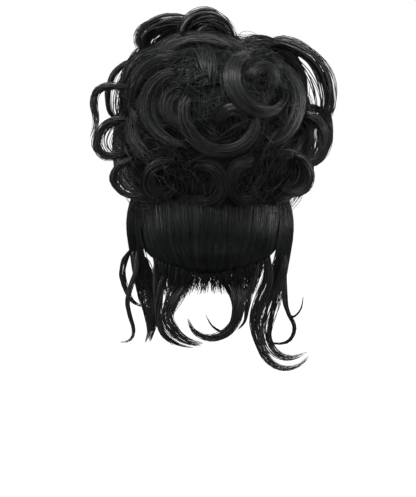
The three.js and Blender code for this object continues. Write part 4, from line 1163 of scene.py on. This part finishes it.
class WIG_OT_strays(bpy.types.Operator):
    """Makes the thin strands that stand clear of the pile"""

    bl_idname = "wig.strays"
    bl_label = "Strays"

    def execute(self, context):
        pile, hair = context.scene.wig_pile, context.scene.wig_hair
        rng = draws("strays")
        strands = hair.strays
        along = even(9)
        sweep, climb = rng.uniform(-0.5, 0.5, (2, strands, 1))
        turn = rng.uniform(0, 2 * np.pi, (strands, 1)) + sweep * along
        tilt = np.arcsin(rng.uniform(-0.35, 0.98, (strands, 1))) + 0.7 * climb * along
        toward = np.stack([np.cos(tilt) * np.sin(turn), -np.cos(tilt) * np.cos(turn), np.sin(tilt)],
                          axis=-1)
        bow = np.sin(np.pi * along * rng.uniform(0.4, 0.9, (strands, 1)))

        # One that hardly travels along the pile hardly lifts either, so none doubles back on itself
        far = rng.uniform(0.003, 0.012, (strands, 1)) * np.minimum(1, 2.5 * np.hypot(sweep, climb))
        path, out = pile_points(pile, toward, far * bow)
        make_piece("hair_strays", [strands_on(path, out, hair.stray)], hair_fibre("frizzed"),
                   [])
        return {"FINISHED"}


# Soft lights round the wig: their places and sizes in metres, and their powers as shares of the key light
SOFTBOXES = (
    ("softbox_above", (-0.2, -1.0, 1.8), (1.2, 0.8), 1.0),
    ("softbox_left", (-1.9, 0.2, 0.6), (0.8, 1.2), 0.45),
    ("softbox_right", (1.9, 0.2, 0.6), (0.8, 1.2), 0.4),
    ("softbox_front", (0.4, 1.9, 1.2), (1.2, 1.0), 0.7),
    ("softbox_behind", (0.0, -2.2, 0.85), (1.6, 0.35), 0.18),
    ("softbox_low", (0.0, -1.6, -1.1), (2.4, 1.2), 0.1),
)


def facing(place, aim):
    """The turn that points a light or a camera at place towards aim."""
    return (Vector(aim) - Vector(place)).to_track_quat("-Z", "Y").to_euler()


class WIG_OT_studio(bpy.types.Operator):
    """Makes the pale floor, the soft lights and the camera behind the wig"""

    bl_idname = "wig.studio"
    bl_label = "Studio"

    def execute(self, context):
        studio, colours = context.scene.wig_studio, context.scene.wig_colours
        reach = 40.0
        mesh = bpy.data.meshes.new("studio_floor")
        mesh.from_pydata([(x, y, -studio.floor_drop) for x, y in
                          ((-reach, -reach), (reach, -reach), (reach, reach), (-reach, reach))],
                         [], [(0, 1, 2, 3)])
        floor = bpy.data.objects.new("studio_floor", mesh)
        context.scene.collection.objects.link(floor)

        # Matt paint that also glows, so that the floor is one pale tone to the eye
        paint = bpy.data.materials.new("painted_studio_floor")
        paint.use_nodes = True
        shader = paint.node_tree.nodes["Principled BSDF"]
        shader.inputs["Base Color"].default_value = tuple(colours.floor)
        shader.inputs["Roughness"].default_value = 0.9
        shader.inputs["Emission Color"].default_value = tuple(colours.floor)
        shader.inputs["Emission Strength"].default_value = 0.95
        mesh.materials.append(paint)
        floor.visible_diffuse = False
        floor.visible_glossy = False

        world = bpy.data.worlds.new("studio")
        context.scene.world = world
        world.use_nodes = True
        tree = world.node_tree
        tree.nodes.clear()
        seen = add_node(tree, "ShaderNodeBackground", None, {"Color": (1, 1, 1, 1), "Strength": 1.0})
        light = add_node(tree, "ShaderNodeBackground", None,
                         {"Color": (1, 1, 1, 1), "Strength": studio.ambient})
        ray = add_node(tree, "ShaderNodeLightPath")
        mixed = add_node(tree, "ShaderNodeMixShader", None, None,
                         {0: ray.outputs["Is Camera Ray"], 1: light.outputs[0], 2: seen.outputs[0]})
        add_node(tree, "ShaderNodeOutputWorld", None, None, {"Surface": mixed.outputs[0]})

        for name, place, size, power in SOFTBOXES:
            lamp = bpy.data.lights.new(name, "AREA")
            lamp.shape, lamp.size, lamp.size_y, lamp.energy = "RECTANGLE", *size, studio.key * power
            box = bpy.data.objects.new(name, lamp)
            box.location, box.rotation_euler = place, facing(place, (0.0, 0.0, 0.0))
            context.scene.collection.objects.link(box)

        data = bpy.data.cameras.new("camera_behind")
        data.sensor_fit, data.sensor_height = "VERTICAL", 24.0
        data.lens = data.sensor_height * studio.distance / studio.view_height
        camera = bpy.data.objects.new("camera_behind", data)
        context.scene.collection.objects.link(camera)
        aim = Vector((studio.aim_across, -studio.aim_back, studio.aim_height))
        camera.location = aim + Vector((0.0, -studio.distance, 0.0))
        camera.rotation_euler = facing(camera.location, aim)
        context.scene.camera = camera
        context.scene.view_settings.view_transform = "Standard"
        return {"FINISHED"}


class WIG_PT_panel(bpy.types.Panel):
    """The wig's sizes, colours and operators"""

    bl_idname = "WIG_PT_panel"
    bl_label = "Updo Wig"
    bl_space_type = "VIEW_3D"
    bl_region_type = "UI"
    bl_category = "Updo Wig"

    def draw(self, context):
        for key, group in GROUPS.items():
            box = self.layout.box()
            for name in group.__annotations__:
                box.prop(getattr(context.scene, key), name)
        for operator in OPERATORS:
            self.layout.operator(operator.bl_idname)


GROUPS = {"wig_cap": WigCap, "wig_pile": WigPile, "wig_hair": WigHair, "wig_colours": WigColours,
          "wig_studio": WigStudio}
OPERATORS = (WIG_OT_cap, WIG_OT_hems, WIG_OT_smooth_hair, WIG_OT_pile, WIG_OT_curls, WIG_OT_loops,
             WIG_OT_tendrils, WIG_OT_strays, WIG_OT_studio)


def register():
    """Registers the settings, the operators and the panel, and gives the scene its settings."""
    for kind in (*GROUPS.values(), *OPERATORS, WIG_PT_panel):
        bpy.utils.register_class(kind)
    for key, group in GROUPS.items():
        setattr(bpy.types.Scene, key, bpy.props.PointerProperty(type=group))


def unregister():
    """Takes away what register gave."""
    for key in GROUPS:
        delattr(bpy.types.Scene, key)
    for kind in (WIG_PT_panel, *OPERATORS, *GROUPS.values()):
        bpy.utils.unregister_class(kind)


def main():
    """Makes the wig and its studio."""
    register()
    bpy.ops.wig.cap()
    bpy.ops.wig.hems()
    bpy.ops.wig.smooth_hair()
    bpy.ops.wig.pile()
    bpy.ops.wig.curls()
    bpy.ops.wig.loops()
    bpy.ops.wig.tendrils()
    bpy.ops.wig.strays()
    bpy.ops.wig.studio()


if __name__ == "__main__":
    main()
